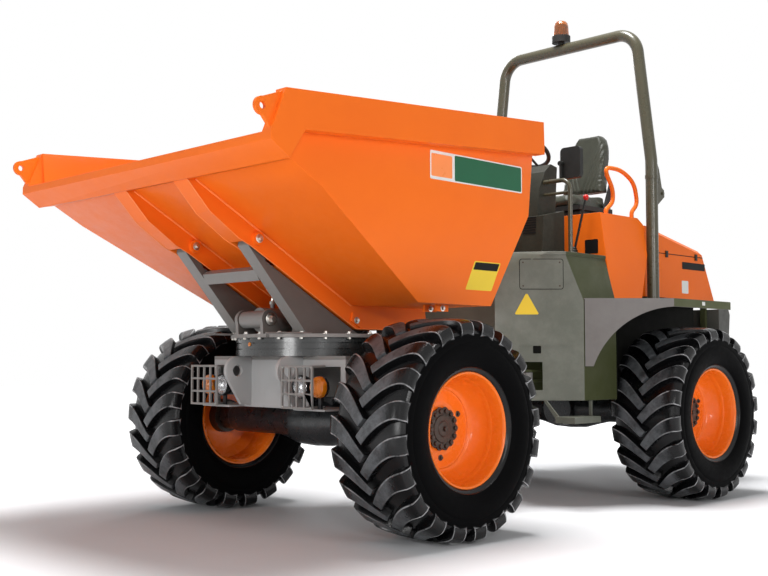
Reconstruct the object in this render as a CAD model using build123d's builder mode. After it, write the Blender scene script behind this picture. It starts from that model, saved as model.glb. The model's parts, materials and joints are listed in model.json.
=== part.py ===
"""Site dumper with a swivelling, tipping skip, an articulated chassis and a folding roll bar.

Millimetres. +X is forward, +Y is the machine's left and +Z is up. While it is modelled, X = 0
is the articulation pin, midway between the axles; the finished pieces are then moved along X
so that the origin lies on the ground below the middle of the machine.
"""
from build123d import *
from math import atan2, cos, hypot, pi, radians, sin, sqrt, tan
import os

# ---------------------------------------------------------------- driving dimensions
WHEELBASE = 2513
TRACK = 1914

TYRE_RADIUS = 584
AXLE_Z = TYRE_RADIUS        # height of the axles; the heights below are counted from it
TYRE_WIDTH = 500
RIM_RADIUS = 298.5
RIM_WIDTH = 420
RIM_THICKNESS = 10
DISC_DEPTH = 197            # from the rim's outer flange in to the wheel disc
HUB_RADIUS = 108
HUB_REACH = 30              # how far the hub stands out of the disc
DISC_RING = 212             # radius at which the disc meets the rim's barrel
SPINDLE_RADIUS = 42
SPINDLE_LENGTH = 80
RUNNING_FIT = 0.05          # radial clearance of a shaft in its bore
SEAT_GAP = 0.3              # gap where a moving piece rests on its seat
SIDE_GAP = 6                # side clearance of a lug in its fork
STEER_LIMIT = 30            # degrees of articulation to either side
SKIP_CLEARANCE = 8          # between the swivelled skip and the platform at full lock

AXLE_RADIUS = 92
AXLE_HOUSING_RADIUS = 145

# chassis
CHASSIS_TOP = AXLE_Z + 383
CHASSIS_BOTTOM = AXLE_Z + 88
FRAME_BOTTOM = AXLE_Z + 151 # underside of the spine and girders, on the axle pads
CHASSIS_HALF_WIDTH = 590
FRONT_PLATE_X = 1590
FRAME_PLATE = 20
SPINE_HALF_WIDTH = 200
PIN_RADIUS = 40
YOKE_PLATE = 35
NECK_BOTTOM = AXLE_Z + 154
NECK_TOP = AXLE_Z + 341
NECK_HALF_WIDTH = 130

# tie-down lugs and lamps on the front plate
LUG_Y = 232
LUG_THICKNESS = 25
LUG_REACH = 186
LUG_HOLE_RADIUS = 32.5
LUG_HEAD_RADIUS = 84
LUG_HOLE_Z = AXLE_Z + 299
LAMP_Z = AXLE_Z + 216
LAMP_FACE_X = 1717
HEADLAMP_Y = 355
HEADLAMP_RADIUS = 65
INDICATOR_Y = 492
INDICATOR_RADIUS = 60
LAMP_DEPTH = 60
SHELF_THICKNESS = 12
GUARD_X = 1790
GUARD_WIDTH = 257
GUARD_HEIGHT = 232
GUARD_BAR = 12
GUARD_COLUMNS = 4
GUARD_ROWS = 3

# turntable and tower
RING_RADIUS = 492
RING_HEIGHT = 103
BASE_RADIUS = 522
BASE_THICKNESS = 20
TONGUE_REACH = 525
TONGUE_HALF_WIDTH = 150
ARM_OUTER_Y = 330
ARM_TOP_WIDTH = 90
ARM_BASE_WIDTH = 130
ARM_FOOT_FRONT = 385        # ahead of the turntable's centre
TIP_X = 2000
TIP_Z = AXLE_Z + 999
TIP_PIN_RADIUS = 24

# skip
FLOOR_Z = AXLE_Z + 668
FLOOR_REAR_X = 717
FLOOR_FRONT_X = 1320
FLOOR_HALF_WIDTH = 869
REAR_TOP_X = 600
REAR_TOP_Z = AXLE_Z + 1705
SIDE_HALF_WIDTH = 1100
FOLD_Z = AXLE_Z + 1171
CHUTE_SLOPE = 643 / 1139     # rise over run
LIP_X = 2459
# underside of the chute at the lip's station
CHUTE_TOP_Z = FLOOR_Z + (LIP_X - FLOOR_FRONT_X) * CHUTE_SLOPE
LIP_Z = CHUTE_TOP_Z - 47     # lower edge of the lip beam
LIP_DEPTH = 62              # from the lower edge back to the chute
NOSE_X = LIP_X + 107
NOSE_Z = CHUTE_TOP_Z + 65
NOSE_FACE = 40
FRONT_TOP_X = LIP_X + 23
FRONT_TOP_Z = CHUTE_TOP_Z + 269
RAIL_DEPTH = 68
RAIL_HEIGHT = 184
SKIP_PLATE = 8
RIB_OUTER_Y = 345
RIB_WIDTH = 120
RIB_PLATE = 8
RIB_NOSE_DEPTH = 105.3687   # from the chute down to the rib's front knee
KEEL_Z = AXLE_Z + 537
KEEL_KNEE_X = 1285
KEEL_REAR_X = 700
EYE_X = NOSE_X + 32
EYE_Z = CHUTE_TOP_Z + 172
EYE_HOLE_RADIUS = 16
EYE_HEAD_RADIUS = 42
EYE_THICKNESS = 20
EYE_Y = SIDE_HALF_WIDTH + 37

# tipping cylinder
RAM_X = 1735
RAM_Z = AXLE_Z + 588
RAM_RADIUS = 68
RAM_LENGTH = 835
RAM_ROD_RADIUS = 32
RAM_EYE_X = 800
RAM_EYE_RADIUS = 45
RAM_EYE_WIDTH = 70
RAM_PIN_RADIUS = 22
RAM_BOSS_RADIUS = 48
RAM_BOSS_HALF = 95
RAM_LUG_PLATE = 25

# steering cylinders
STEER_REAR_X = -80
STEER_REAR_Y = 500
STEER_FRONT_X = 950
STEER_FRONT_Y = 340
STEER_Z = AXLE_Z + 256
STEER_RADIUS = 38
STEER_ROD_RADIUS = 20
STEER_EYE_RADIUS = 36
STEER_EYE_HEIGHT = 44
STEER_LUG_PLATE = 15
STEER_BARREL = 620
STEER_ROD_START = 365       # the rod's inner end, from the barrel's pin

# rear chassis body
BODY_BOTTOM = AXLE_Z + 100
PLATFORM_Z = AXLE_Z + 1058  # top of the tread floor
BOX_TOP_Z = AXLE_Z + 1036   # top of the platform's box, below the floor plate
FLOOR_LEDGE = 6             # how far the floor plate stands over the box
PANEL_SUM = 490             # the chamfered panels lie on x + y = this
PANEL_INNER_Y = 385
SIDE_Y = 790
SIDE_TOP_Y = 710
SHOULDER_Z = AXLE_Z + 741
BODY_SHEET = 6
FRONT_WALL_X = -50
TUNNEL_Z = AXLE_Z + 416
BOX_REAR_X = TYRE_RADIUS + 7 - WHEELBASE / 2
SIDE_PLATE_REAR_X = TYRE_RADIUS + 52 - WHEELBASE / 2
NOTCH_LOW_Z = AXLE_Z + 166
NOTCH_HIGH_Z = AXLE_Z + 346
NOTCH_OUTER_Y = 600
POD_REAR_X = -1190

GUARD_TOP_Z = AXLE_Z + 756  # top of the mudguards
GUARD_OUTER_Y = 1200
GUARD_REAR_X = -1445
GUARD_FLANGE = 54
ARCH_WALL_Y = 620
ARCH_WALL_REAR_X = -1950

POD_INNER_Y = 330
POD_TOP_Y = 670
POD_BASE_Y = 760
POD_TOP_Z = AXLE_Z + 1358
POD_SHEET = 5

HOUSING_HALF_WIDTH = ARCH_WALL_Y - 20
HOUSING_FRONT_X = -1330
SEAM_Z = AXLE_Z + 1143
LID_FRONT_X = -1505
LID_FRONT_Z = AXLE_Z + 1309
LID_REAR_X = -2120
LID_REAR_Z = AXLE_Z + 1196
HOUSING_REAR_X = -2311
HOUSING_BASE_Z = AXLE_Z + 816
HOOD_SHEET = 5
HOOD_CHAMFER = 28
HINGE_X = -1500             # the lid's hinge pin
HINGE_Z = AXLE_Z + 1312
HINGE_Y = 400
HINGE_RADIUS = 9
HINGE_PIN_RADIUS = 5
KNUCKLE_HALF = 30           # half width of the lid's knuckle
KNUCKLE_END = 50            # outer end of the housing's knuckles

WEIGHT_HALF_WIDTH = 700
WEIGHT_REAR_X = -2372
WEIGHT_FRONT_X = -2200
WEIGHT_BOTTOM = AXLE_Z + 236
HITCH_REACH = 118
HITCH_PIN_RADIUS = 16
HITCH_GAP = 70
HITCH_PLATE = 22
HITCH_Z = AXLE_Z + 316

# operator's station
SEAT_X = -1275
SEAT_BASE_Z = AXLE_Z + 1386
SEAT_HALF_WIDTH = 225
BACK_HALF_WIDTH = 190
CONSOLE_FRONT_X = -250
CONSOLE_REAR_X = -500
CONSOLE_HALF_WIDTH = 500
POD_HALF_WIDTH = 440
CONSOLE_SHELF_Z = AXLE_Z + 1346
CONSOLE_TOP_Z = AXLE_Z + 1686
WHEEL_X = -720
WHEEL_Z = AXLE_Z + 1866
WHEEL_RADIUS = 190
WHEEL_RIM_RADIUS = 15
RAIL_X = -360
RAIL_Y = 650
RAIL_TOP_Z = AXLE_Z + 1551
RAIL_TUBE = 15
RAIL_DROP = 85              # from the top rail down to the lower one
MIRROR_WIDTH = 160
MIRROR_HEIGHT = 210
MIRROR_Z = AXLE_Z + 1664

# steps under the platform's corners
STEP_Z = AXLE_Z + 1
STEP_INNER_Y = 700
STEP_OUTER_Y = 850
STEP_FRONT_X = -110
STEP_REAR_X = -390

# lever beside the left side pod
LEVER_X = BOX_REAR_X + 55.5  # behind the pedals, ahead of the side pod
LEVER_FOOT_Y = 494
LEVER_TOP_Y = 600
LEVER_TOP_Z = AXLE_Z + 1462

# pedals ahead of the seat
PEDAL_X = CONSOLE_REAR_X - 60
PEDAL_Y = 120
PEDAL_HALF_WIDTH = 40

# grab loops: stations as x and height over the pod's top
LOOP_TUBE = 15
LOOP_BEND = 30
LOOP_PATH = [
    (-765, 0), (-765, 26), (-852, 88), (-850, 178), (-742, 320),
    (-960, 324), (-1120, 248), (-1155, 103), (-1080, 40), (-1080, 0),
]

# roll bar
ROPS_X = -1250
ROPS_Y = 715
ROPS_TUBE = 42.5
ROPS_FOOT = 160
ROPS_SPLIT_Z = AXLE_Z + 1660
ROPS_TOP_Y = 600
ROPS_TOP_Z = AXLE_Z + 2734
ROPS_BEND = 170
FOLD_X = -1340
FOLD_PIVOT_Z = AXLE_Z + 1548
FOLD_PIN_RADIUS = 12
FOLD_LUG = 40
FOLD_PLATE = 12
BEACON_Y = -60
BEACON_RADIUS = 60
BEACON_BASE_RADIUS = 70

# ---------------------------------------------------------------- derived stations
FRONT_AXLE_X = WHEELBASE / 2
REAR_AXLE_X = -WHEELBASE / 2
WHEEL_Y = TRACK / 2
TURN_X = FRONT_AXLE_X
RING_TOP = CHASSIS_TOP + RING_HEIGHT - SEAT_GAP
BASE_BOTTOM = CHASSIS_TOP + RING_HEIGHT
BASE_TOP = BASE_BOTTOM + BASE_THICKNESS
FRONT_REACH = EYE_X + EYE_HEAD_RADIUS
REAR_REACH = -WEIGHT_REAR_X + HITCH_REACH
CENTRE_X = (FRONT_REACH - REAR_REACH) / 2
POD_FRONT_X = BOX_REAR_X - BODY_SHEET


# tread stations from the middle out: offset and radius of the groove's floor, offset and
# radius of the lug's top, lead in radians, share of the pitch that the lug fills
LUGS = 20
TREAD = [
    (0, TYRE_RADIUS - 40, 0, TYRE_RADIUS, 0, 0.42),
    (75, TYRE_RADIUS - 41, 75, TYRE_RADIUS - 1, 0.13, 0.5),
    (0.82 * TYRE_WIDTH / 2, TYRE_RADIUS - 54, 0.91 * TYRE_WIDTH / 2, TYRE_RADIUS - 22, 0.25, 0.6),
]


# ---------------------------------------------------------------- shared shapes
def slab(outline, plane, amount, mode=Mode.ADD):
    """Extrude a closed outline, drawn on a plane, by an amount along the plane's normal."""
    with BuildSketch(plane) as face:
        with BuildLine():
            Polyline(*outline, close=True)
        make_face()
    extrude(face.sketch, amount=amount, mode=mode)


def side_slab(outline, y_low, y_high, mode=Mode.ADD):
    """Extrude an (x, z) outline from y_low to y_high."""
    slab(outline, Plane.XZ.offset(-y_high), y_high - y_low, mode)


def flat_slab(outline, z_low, z_high, mode=Mode.ADD):
    """Extrude an (x, y) outline from z_low to z_high."""
    slab(outline, Plane.XY.offset(z_low), z_high - z_low, mode)


def cross_slab(outline, x_low, x_high, mode=Mode.ADD):
    """Extrude a (y, z) outline from x_low to x_high."""
    slab(outline, Plane.YZ.offset(x_low), x_high - x_low, mode)


def block(x_range, y_range, z_range, mode=Mode.ADD):
    """Add a box given by its low and high sides."""
    sides = [(x_range[0], y_range[0]), (x_range[1], y_range[0])]
    sides += [(x_range[1], y_range[1]), (x_range[0], y_range[1])]
    flat_slab(sides, z_range[0], z_range[1], mode)


def rod(start, end, radius, mode=Mode.ADD):
    """Add a round bar from one point to another."""
    axis = Vector(*end) - Vector(*start)
    with BuildSketch(Plane(origin=start, z_dir=axis)) as section:
        Circle(radius)
    extrude(section.sketch, amount=axis.length, mode=mode)


def tube(points, bend, radius):
    """Add a round bar along straight runs joined by arcs of one bend radius."""
    with BuildLine() as route:
        FilletPolyline(*points, radius=bend)
    with BuildSketch(Plane(origin=route.line @ 0, z_dir=route.line % 0)) as section:
        Circle(radius)
    sweep(section.sketch, path=route.line)


def turned(profile, centre, mode=Mode.ADD):
    """Revolve an (offset along y, radius) outline about the Y axis through a centre."""
    plane = Plane(origin=centre, x_dir=(0, 1, 0), z_dir=(-1, 0, 0))
    axis = Axis(origin=centre, direction=(0, 1, 0))
    with BuildSketch(plane) as face:
        with BuildLine():
            Polyline(*profile, close=True)
        make_face()
    revolve(face.sketch, axis=axis, revolution_arc=360, mode=mode)


def line_z(x, start, end):
    """Height at x of the straight line through two (x, z) points."""
    share = (x - start[0]) / (end[0] - start[0])
    return start[1] + share * (end[1] - start[1])


# ---------------------------------------------------------------- wheels
def wheel_point(offset, radius, angle):
    """Point on a wheel about the origin: offset along the axle, radius and angle."""
    return Vector(radius * cos(angle), offset, radius * sin(angle))


def tread_station(station, half, number):
    """The groove's and the lug's two corner points for one lug at one station of the tread."""
    offset, groove_radius, lug_offset, lug_radius, lead, share = station
    pitch = 2 * pi / LUGS
    first = -pi / 2 - TREAD[0][-1] * pitch / 2
    middle = first + lead + (number + (0 if half > 0 else 0.5)) * pitch
    turns = (middle - share * pitch / 2, middle + share * pitch / 2)
    low = [wheel_point(half * offset, groove_radius, turn) for turn in turns]
    high = [wheel_point(half * lug_offset, lug_radius, turn) for turn in turns]
    return low, high


def side_ring(offset, radius, half, number):
    """Two corner points of the sidewall's many-sided ring below one lug."""
    pitch = 2 * pi / LUGS
    first = -pi / 2 - TREAD[0][-1] * pitch / 2
    middle = first + TREAD[-1][4] + (number + (0 if half > 0 else 0.5)) * pitch
    return [wheel_point(half * offset, radius, middle + turn * pitch / 4) for turn in (-1, 1, 3)]


def flat_faces(points):
    """Two triangles across four corner points that needn't lie in one plane."""
    first, second, third, fourth = points
    return [(first, second, third), (first, third, fourth)]


def build_tyre(x, side):
    """Lugged tyre on the rim's bead seats: lugs lead forward from the middle to the shoulders."""
    seat = (RIM_RADIUS - 15 + RUNNING_FIT) / cos(pi / LUGS / 2)
    bead = RIM_WIDTH / 2 - RIM_THICKNESS
    widest = RIM_RADIUS + 0.44 * (TYRE_RADIUS - RIM_RADIUS)
    rings = [(TYRE_WIDTH / 2, widest), (bead, RIM_RADIUS + 4), (bead, seat)]
    corners = []
    for half in (1, -1):
        for number in range(LUGS):
            low, high = tread_station(TREAD[0], half, number)
            corners.append((low[0], low[1], high[1], high[0]))
            other, _ = tread_station(TREAD[0], -half, number if half > 0 else number + 1)
            next_low, _ = tread_station(TREAD[1], half, number + 1)
            next_first, _ = tread_station(TREAD[0], half, number + 1)
            out_low, _ = tread_station(TREAD[1], half, number)
            corners += [(out_low[1], low[1], other[0]), (out_low[1], other[0], other[1])]
            corners += [(out_low[1], other[1], next_low[0])]
            corners += [(other[1], next_first[0], next_low[0])]
            for inner, outer in zip(TREAD[:-1], TREAD[1:]):
                low, high = tread_station(inner, half, number)
                out_low, out_high = tread_station(outer, half, number)
                corners += flat_faces((low[0], high[0], out_high[0], out_low[0]))
                corners += flat_faces((high[0], high[1], out_high[1], out_high[0]))
                corners += flat_faces((high[1], low[1], out_low[1], out_high[1]))
                if inner != TREAD[0]:
                    next_low, _ = tread_station(inner, half, number + 1)
                    next_out, _ = tread_station(outer, half, number + 1)
                    corners += flat_faces((low[1], next_low[0], next_out[0], out_low[1]))
            low, high = tread_station(TREAD[-1], half, number)
            next_low, _ = tread_station(TREAD[-1], half, number + 1)
            ring = side_ring(rings[0][0], rings[0][1], half, number)
            corners += [(low[0], high[0], ring[0]), (high[0], high[1], ring[1])]
            corners += [(high[0], ring[1], ring[0]), (high[1], low[1], ring[1])]
            corners += [(low[1], next_low[0], ring[2]), (low[1], ring[2], ring[1])]
            for outer, inner in zip(rings[:-1], rings[1:]):
                edge = side_ring(outer[0], outer[1], half, number)
                inward = side_ring(inner[0], inner[1], half, number)
                corners.append((edge[0], edge[1], inward[1], inward[0]))
                corners.append((edge[1], edge[2], inward[2], inward[1]))
            if half > 0:
                near = side_ring(bead, seat, half, number)
                far = side_ring(-bead, seat, half, number)
                corners.append((near[0], near[1], far[1], far[0]))
                corners.append((near[1], near[2], far[2], far[1]))
    faces = [Face(Wire.make_polygon(points)) for points in corners]
    tyre = Solid(Shell(faces))
    return tyre.moved(Location((x, side * WHEEL_Y, AXLE_Z)))


def build_rim(x, side):
    """Deep-dished rim: bead seats, a coned barrel and a disc pierced for the hub."""
    half = RIM_WIDTH / 2
    wall = RIM_THICKNESS
    seat = RIM_RADIUS - 15
    disc = half - DISC_DEPTH
    ring = DISC_RING
    outline = [(half, RIM_RADIUS), (half, seat - 4), (half - 26, seat - 6)]
    outline += [(half - 32, seat - wall), (half - 100, seat - wall - 3), (disc + 12, ring + 12)]
    outline += [(disc, ring), (disc, HUB_RADIUS), (disc - 14, HUB_RADIUS), (disc - 14, ring)]
    outline += [(disc - 44, seat - wall), (-half, seat - wall), (-half, RIM_RADIUS)]
    outline += [(wall - half, RIM_RADIUS), (wall - half, seat), (disc - 40, seat)]
    outline += [(disc - 6, ring + 22), (disc + 20, ring + 24), (half - 96, seat)]
    outline += [(half - wall, seat), (half - wall, RIM_RADIUS)]
    placed = [(side * offset, radius) for offset, radius in outline]
    with BuildPart() as rim:
        turned(placed, (x, side * WHEEL_Y, AXLE_Z))
    return rim.part


def build_hub(x, side):
    """Reduction hub that carries the wheel disc and turns on the axle's spindle."""
    disc = RIM_WIDTH / 2 - DISC_DEPTH
    back = disc - 85
    flange = HUB_RADIUS - SEAT_GAP
    outline = [(back, SPINDLE_RADIUS + RUNNING_FIT), (back, 96), (disc - 30, HUB_RADIUS + 2)]
    outline += [(disc - 14, HUB_RADIUS + 18), (disc - 14, flange), (disc + 14, flange)]
    outline += [(disc + 14, 76), (disc + 22, 71), (disc + 22, 45), (disc + HUB_REACH, 39)]
    outline += [(disc + HUB_REACH, 0), (back + SPINDLE_LENGTH + 1, 0)]
    outline += [(back + SPINDLE_LENGTH + 1, SPINDLE_RADIUS + RUNNING_FIT)]
    placed = [(side * offset, radius) for offset, radius in outline]
    with BuildPart() as hub:
        turned(placed, (x, side * WHEEL_Y, AXLE_Z))
    return hub.part


def build_axle(x, pad_y):
    """Axle beam: a round tube swelling to the reduction housing, with spindles and pads."""
    hub_back = WHEEL_Y + RIM_WIDTH / 2 - DISC_DEPTH - 85 - SEAT_GAP
    outline = [(0, 0), (0, AXLE_HOUSING_RADIUS), (130, AXLE_HOUSING_RADIUS - 6)]
    outline += [(235, AXLE_RADIUS + 20), (330, AXLE_RADIUS), (hub_back - 120, AXLE_RADIUS)]
    outline += [(hub_back - 90, AXLE_RADIUS - 14), (hub_back, AXLE_RADIUS - 10)]
    outline += [(hub_back, SPINDLE_RADIUS), (hub_back + SPINDLE_LENGTH, SPINDLE_RADIUS)]
    outline += [(hub_back + SPINDLE_LENGTH, 0)]
    with BuildPart() as axle:
        turned(outline, (x, 0, AXLE_Z))
        mirror(about=Plane.XZ)
        for y in (-pad_y, pad_y):
            block((x - 70, x + 70), (y - 38, y + 38), (AXLE_Z, FRAME_BOTTOM))
        inward = -1 if x > 0 else 1
        nose = (x + inward * (AXLE_HOUSING_RADIUS + 45), 0, AXLE_Z)
        rod((x, 0, AXLE_Z), nose, AXLE_HOUSING_RADIUS - 22)
    return axle.part


# ---------------------------------------------------------------- front chassis
def build_front_frame():
    """Front half of the chassis: neck, spine, top plate, side walls and steering forks."""
    top_under = CHASSIS_TOP - FRAME_PLATE
    half = CHASSIS_HALF_WIDTH
    spine = SPINE_HALF_WIDTH
    front = FRONT_PLATE_X
    box_rear = TURN_X - 160
    plate_half = RING_RADIUS + 24
    with BuildPart() as frame:
        outline = [(380, -spine), (TURN_X - 420, -plate_half), (box_rear, -half), (front, -half)]
        flat_slab(outline + [(x, -y) for x, y in reversed(outline)], top_under, CHASSIS_TOP)
        block((380, front - FRAME_PLATE), (-spine, spine), (FRAME_BOTTOM, top_under))
        neck = [(0, -NECK_HALF_WIDTH), (300, -NECK_HALF_WIDTH), (400, -spine)]
        neck_top = NECK_TOP - SEAT_GAP
        neck_low = NECK_BOTTOM + SEAT_GAP
        flat_slab(neck + [(x, -y) for x, y in reversed(neck)], neck_low, neck_top)
        rod((0, 0, neck_low), (0, 0, neck_top), NECK_HALF_WIDTH)
        rod((0, 0, neck_low), (0, 0, neck_top), PIN_RADIUS + RUNNING_FIT, Mode.SUBTRACT)
        for side in (-1, 1):
            wall = sorted((side * half, side * (half - FRAME_PLATE)))
            block((box_rear, front - FRAME_PLATE), wall, (CHASSIS_BOTTOM + 60, top_under))
            build_steer_lug(side)
    return frame.part


def build_front_plate():
    """Upright front plate with the two lamp pockets, their shelves and the tie-down lugs."""
    half = CHASSIS_HALF_WIDTH
    front = FRONT_PLATE_X
    with BuildPart() as plate:
        top_under = CHASSIS_TOP - FRAME_PLATE
        block((front - FRAME_PLATE, front), (-half, half), (CHASSIS_BOTTOM, top_under))
        for side in (-1, 1):
            pocket = sorted((side * (half - 300), side * (half - 40)))
            pocket_z = (CHASSIS_BOTTOM + SHELF_THICKNESS, CHASSIS_BOTTOM + 236)
            shelf = (front - 150, LAMP_FACE_X - 15)
            block(shelf, pocket, (CHASSIS_BOTTOM, CHASSIS_BOTTOM + SHELF_THICKNESS))
            block((front - FRAME_PLATE, front), pocket, pocket_z, Mode.SUBTRACT)
            build_tie_lug(side)
    return plate.part


def build_tie_lug(side):
    """One tie-down lug: an upright plate with a round head, standing out of the front plate."""
    hole_x = FRONT_PLATE_X + LUG_REACH - LUG_HEAD_RADIUS
    low = side * LUG_Y - LUG_THICKNESS / 2
    high = side * LUG_Y + LUG_THICKNESS / 2
    foot = [(FRONT_PLATE_X, CHASSIS_BOTTOM + 15), (FRONT_PLATE_X, LUG_HOLE_Z + LUG_HEAD_RADIUS)]
    foot += [(hole_x, LUG_HOLE_Z + LUG_HEAD_RADIUS), (hole_x + 70, LUG_HOLE_Z - 46)]
    foot += [(FRONT_PLATE_X + 75, CHASSIS_BOTTOM + 15)]
    side_slab(foot, low, high)
    rod((hole_x, low, LUG_HOLE_Z), (hole_x, high, LUG_HOLE_Z), LUG_HEAD_RADIUS)
    rod((hole_x, low, LUG_HOLE_Z), (hole_x, high, LUG_HOLE_Z), LUG_HOLE_RADIUS, Mode.SUBTRACT)


def build_steer_lug(side):
    """Fork for one steering rod's eye, on the side of the spine."""
    gap = STEER_EYE_HEIGHT / 2 + 3
    reach = STEER_FRONT_Y + STEER_EYE_RADIUS
    for low in (STEER_Z - gap - STEER_LUG_PLATE, STEER_Z + gap):
        y_range = sorted((side * (SPINE_HALF_WIDTH - 5), side * STEER_FRONT_Y))
        block((STEER_FRONT_X - 45, STEER_FRONT_X + 45), y_range, (low, low + STEER_LUG_PLATE))
        end = (STEER_FRONT_X, side * STEER_FRONT_Y, low)
        top = (STEER_FRONT_X, side * STEER_FRONT_Y, low + STEER_LUG_PLATE)
        rod(end, top, reach - STEER_FRONT_Y + 9)


def build_slew_ring():
    """Slewing ring between the chassis top and the tower's base plate."""
    with BuildPart() as ring:
        rings = [(CHASSIS_TOP, 36, 0), (CHASSIS_TOP + 36, 6, 14), (CHASSIS_TOP + 42, 28, 2)]
        rings += [(CHASSIS_TOP + 70, 6, 14), (CHASSIS_TOP + 76, RING_TOP - CHASSIS_TOP - 76, 0)]
        for base, height, inset in rings:
            rod((TURN_X, 0, base), (TURN_X, 0, base + height), RING_RADIUS - inset)
    return ring.part


def build_lamp_guards():
    """Barred guards in front of the two lamp pockets, on brackets off the front plate."""
    centre = CHASSIS_HALF_WIDTH - 170
    low = LAMP_Z - GUARD_HEIGHT / 2
    with BuildPart() as guards:
        for side in (-1, 1):
            y_low = side * centre - GUARD_WIDTH / 2
            y_high = side * centre + GUARD_WIDTH / 2
            x_range = (GUARD_X - GUARD_BAR, GUARD_X)
            block(x_range, (y_low, y_high), (low, low + GUARD_HEIGHT))
            pitch_y = (GUARD_WIDTH - GUARD_BAR) / GUARD_COLUMNS
            pitch_z = (GUARD_HEIGHT - GUARD_BAR) / GUARD_ROWS
            for column in range(GUARD_COLUMNS):
                for row in range(GUARD_ROWS):
                    cell_y = y_low + GUARD_BAR + column * pitch_y
                    cell_z = low + GUARD_BAR + row * pitch_z
                    cell = (cell_y, cell_y + pitch_y - GUARD_BAR)
                    height = (cell_z, cell_z + pitch_z - GUARD_BAR)
                    block(x_range, cell, height, Mode.SUBTRACT)
            high = low + GUARD_HEIGHT
            for z_range in ((low, low + GUARD_BAR), (high - GUARD_BAR, high)):
                strip = sorted((side * (centre - 20), side * (centre + 10)))
                block((FRONT_PLATE_X, GUARD_X - GUARD_BAR), strip, z_range)
    return guards.part


def build_lamps(y, radius):
    """A pair of round lamps with tapered lenses, on stems off the pocket shelves."""
    back = LAMP_FACE_X - LAMP_DEPTH
    rim = LAMP_FACE_X - 12
    with BuildPart() as lamps:
        for side in (-1, 1):
            rod((back, side * y, LAMP_Z), (rim, side * y, LAMP_Z), radius)
            with BuildSketch(Plane.YZ.offset(rim)) as face:
                with Locations((side * y, LAMP_Z)):
                    Circle(radius)
            extrude(face.sketch, amount=LAMP_FACE_X - rim, taper=25)
            foot = (back + 22, side * y, CHASSIS_BOTTOM + SHELF_THICKNESS)
            rod(foot, (back + 22, side * y, LAMP_Z), 14)
    return lamps.part


# ---------------------------------------------------------------- tower and tipping cylinder
def build_tower():
    """Swivelling tower: base plate with a tongue, two boxed arms, a cross bar and ram lugs."""
    front_foot = TURN_X + ARM_FOOT_FRONT
    keel_start = (KEEL_KNEE_X, KEEL_Z)
    keel_end = (TIP_X + 32, TIP_Z - 43)
    rear_x = KEEL_KNEE_X - 45
    neck_x = TIP_X - 70
    neck_z = line_z(neck_x, keel_start, keel_end) - 12
    outline = [(front_foot, BASE_TOP), (TIP_X + 46, TIP_Z - 35), (TIP_X + 44, TIP_Z - 17)]
    outline += [(TIP_X + 30, TIP_Z + 16), (TIP_X + 10, TIP_Z + 33), (TIP_X - 16, TIP_Z + 33)]
    outline += [(TIP_X - 36, TIP_Z + 8), (neck_x, neck_z)]
    outline += [(KEEL_KNEE_X, KEEL_Z - 12), (rear_x, BASE_TOP)]
    inner_y = ARM_OUTER_Y - ARM_TOP_WIDTH
    with BuildPart() as tower:
        rod((TURN_X, 0, BASE_BOTTOM), (TURN_X, 0, BASE_TOP), BASE_RADIUS)
        tongue = (-TONGUE_HALF_WIDTH, TONGUE_HALF_WIDTH)
        block((TURN_X, TURN_X + TONGUE_REACH), tongue, (BASE_BOTTOM, BASE_TOP))
        for side in (-1, 1):
            low, high = sorted((side * inner_y, side * ARM_OUTER_Y))
            side_slab(outline, low, high)
            bore = TIP_PIN_RADIUS + RUNNING_FIT
            rod((TIP_X, low, TIP_Z), (TIP_X, high, TIP_Z), bore, Mode.SUBTRACT)
            foot_y = ARM_OUTER_Y - ARM_BASE_WIDTH
            flare = [(side * foot_y, BASE_TOP), (side * inner_y, BASE_TOP)]
            flare += [(side * inner_y, BASE_TOP + 150)]
            cross_slab(flare, front_foot - 90, front_foot)
            pad = sorted((side * (RIB_OUTER_Y - RIB_WIDTH + 10), side * (RIB_OUTER_Y - 10)))
            block((TURN_X - 360, TURN_X - 240), pad, (BASE_TOP, KEEL_Z - SEAT_GAP))
            lug = sorted((side * (RAM_BOSS_HALF + 5), side * (RAM_BOSS_HALF + 5 + RAM_LUG_PLATE)))
            post = [(RAM_X - 95, BASE_TOP), (RAM_X + 45, BASE_TOP), (RAM_X + 50, RAM_Z)]
            post += [(RAM_X - 50, RAM_Z)]
            side_slab(post, lug[0], lug[1])
            rod((RAM_X, lug[0], RAM_Z), (RAM_X, lug[1], RAM_Z), RAM_BOSS_RADIUS + 6)
        pin_end = RAM_BOSS_HALF + RAM_LUG_PLATE + 15
        rod((RAM_X, -pin_end, RAM_Z), (RAM_X, pin_end, RAM_Z), RAM_PIN_RADIUS)
        bar_x = TIP_X - 110
        bar_z = TIP_Z - 175
        bar = [(bar_x - 30, bar_z - 12), (bar_x + 10, bar_z - 36)]
        bar += [(bar_x + 42, bar_z + 20), (bar_x + 2, bar_z + 44)]
        side_slab(bar, -inner_y, inner_y)
    return tower.part


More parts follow.
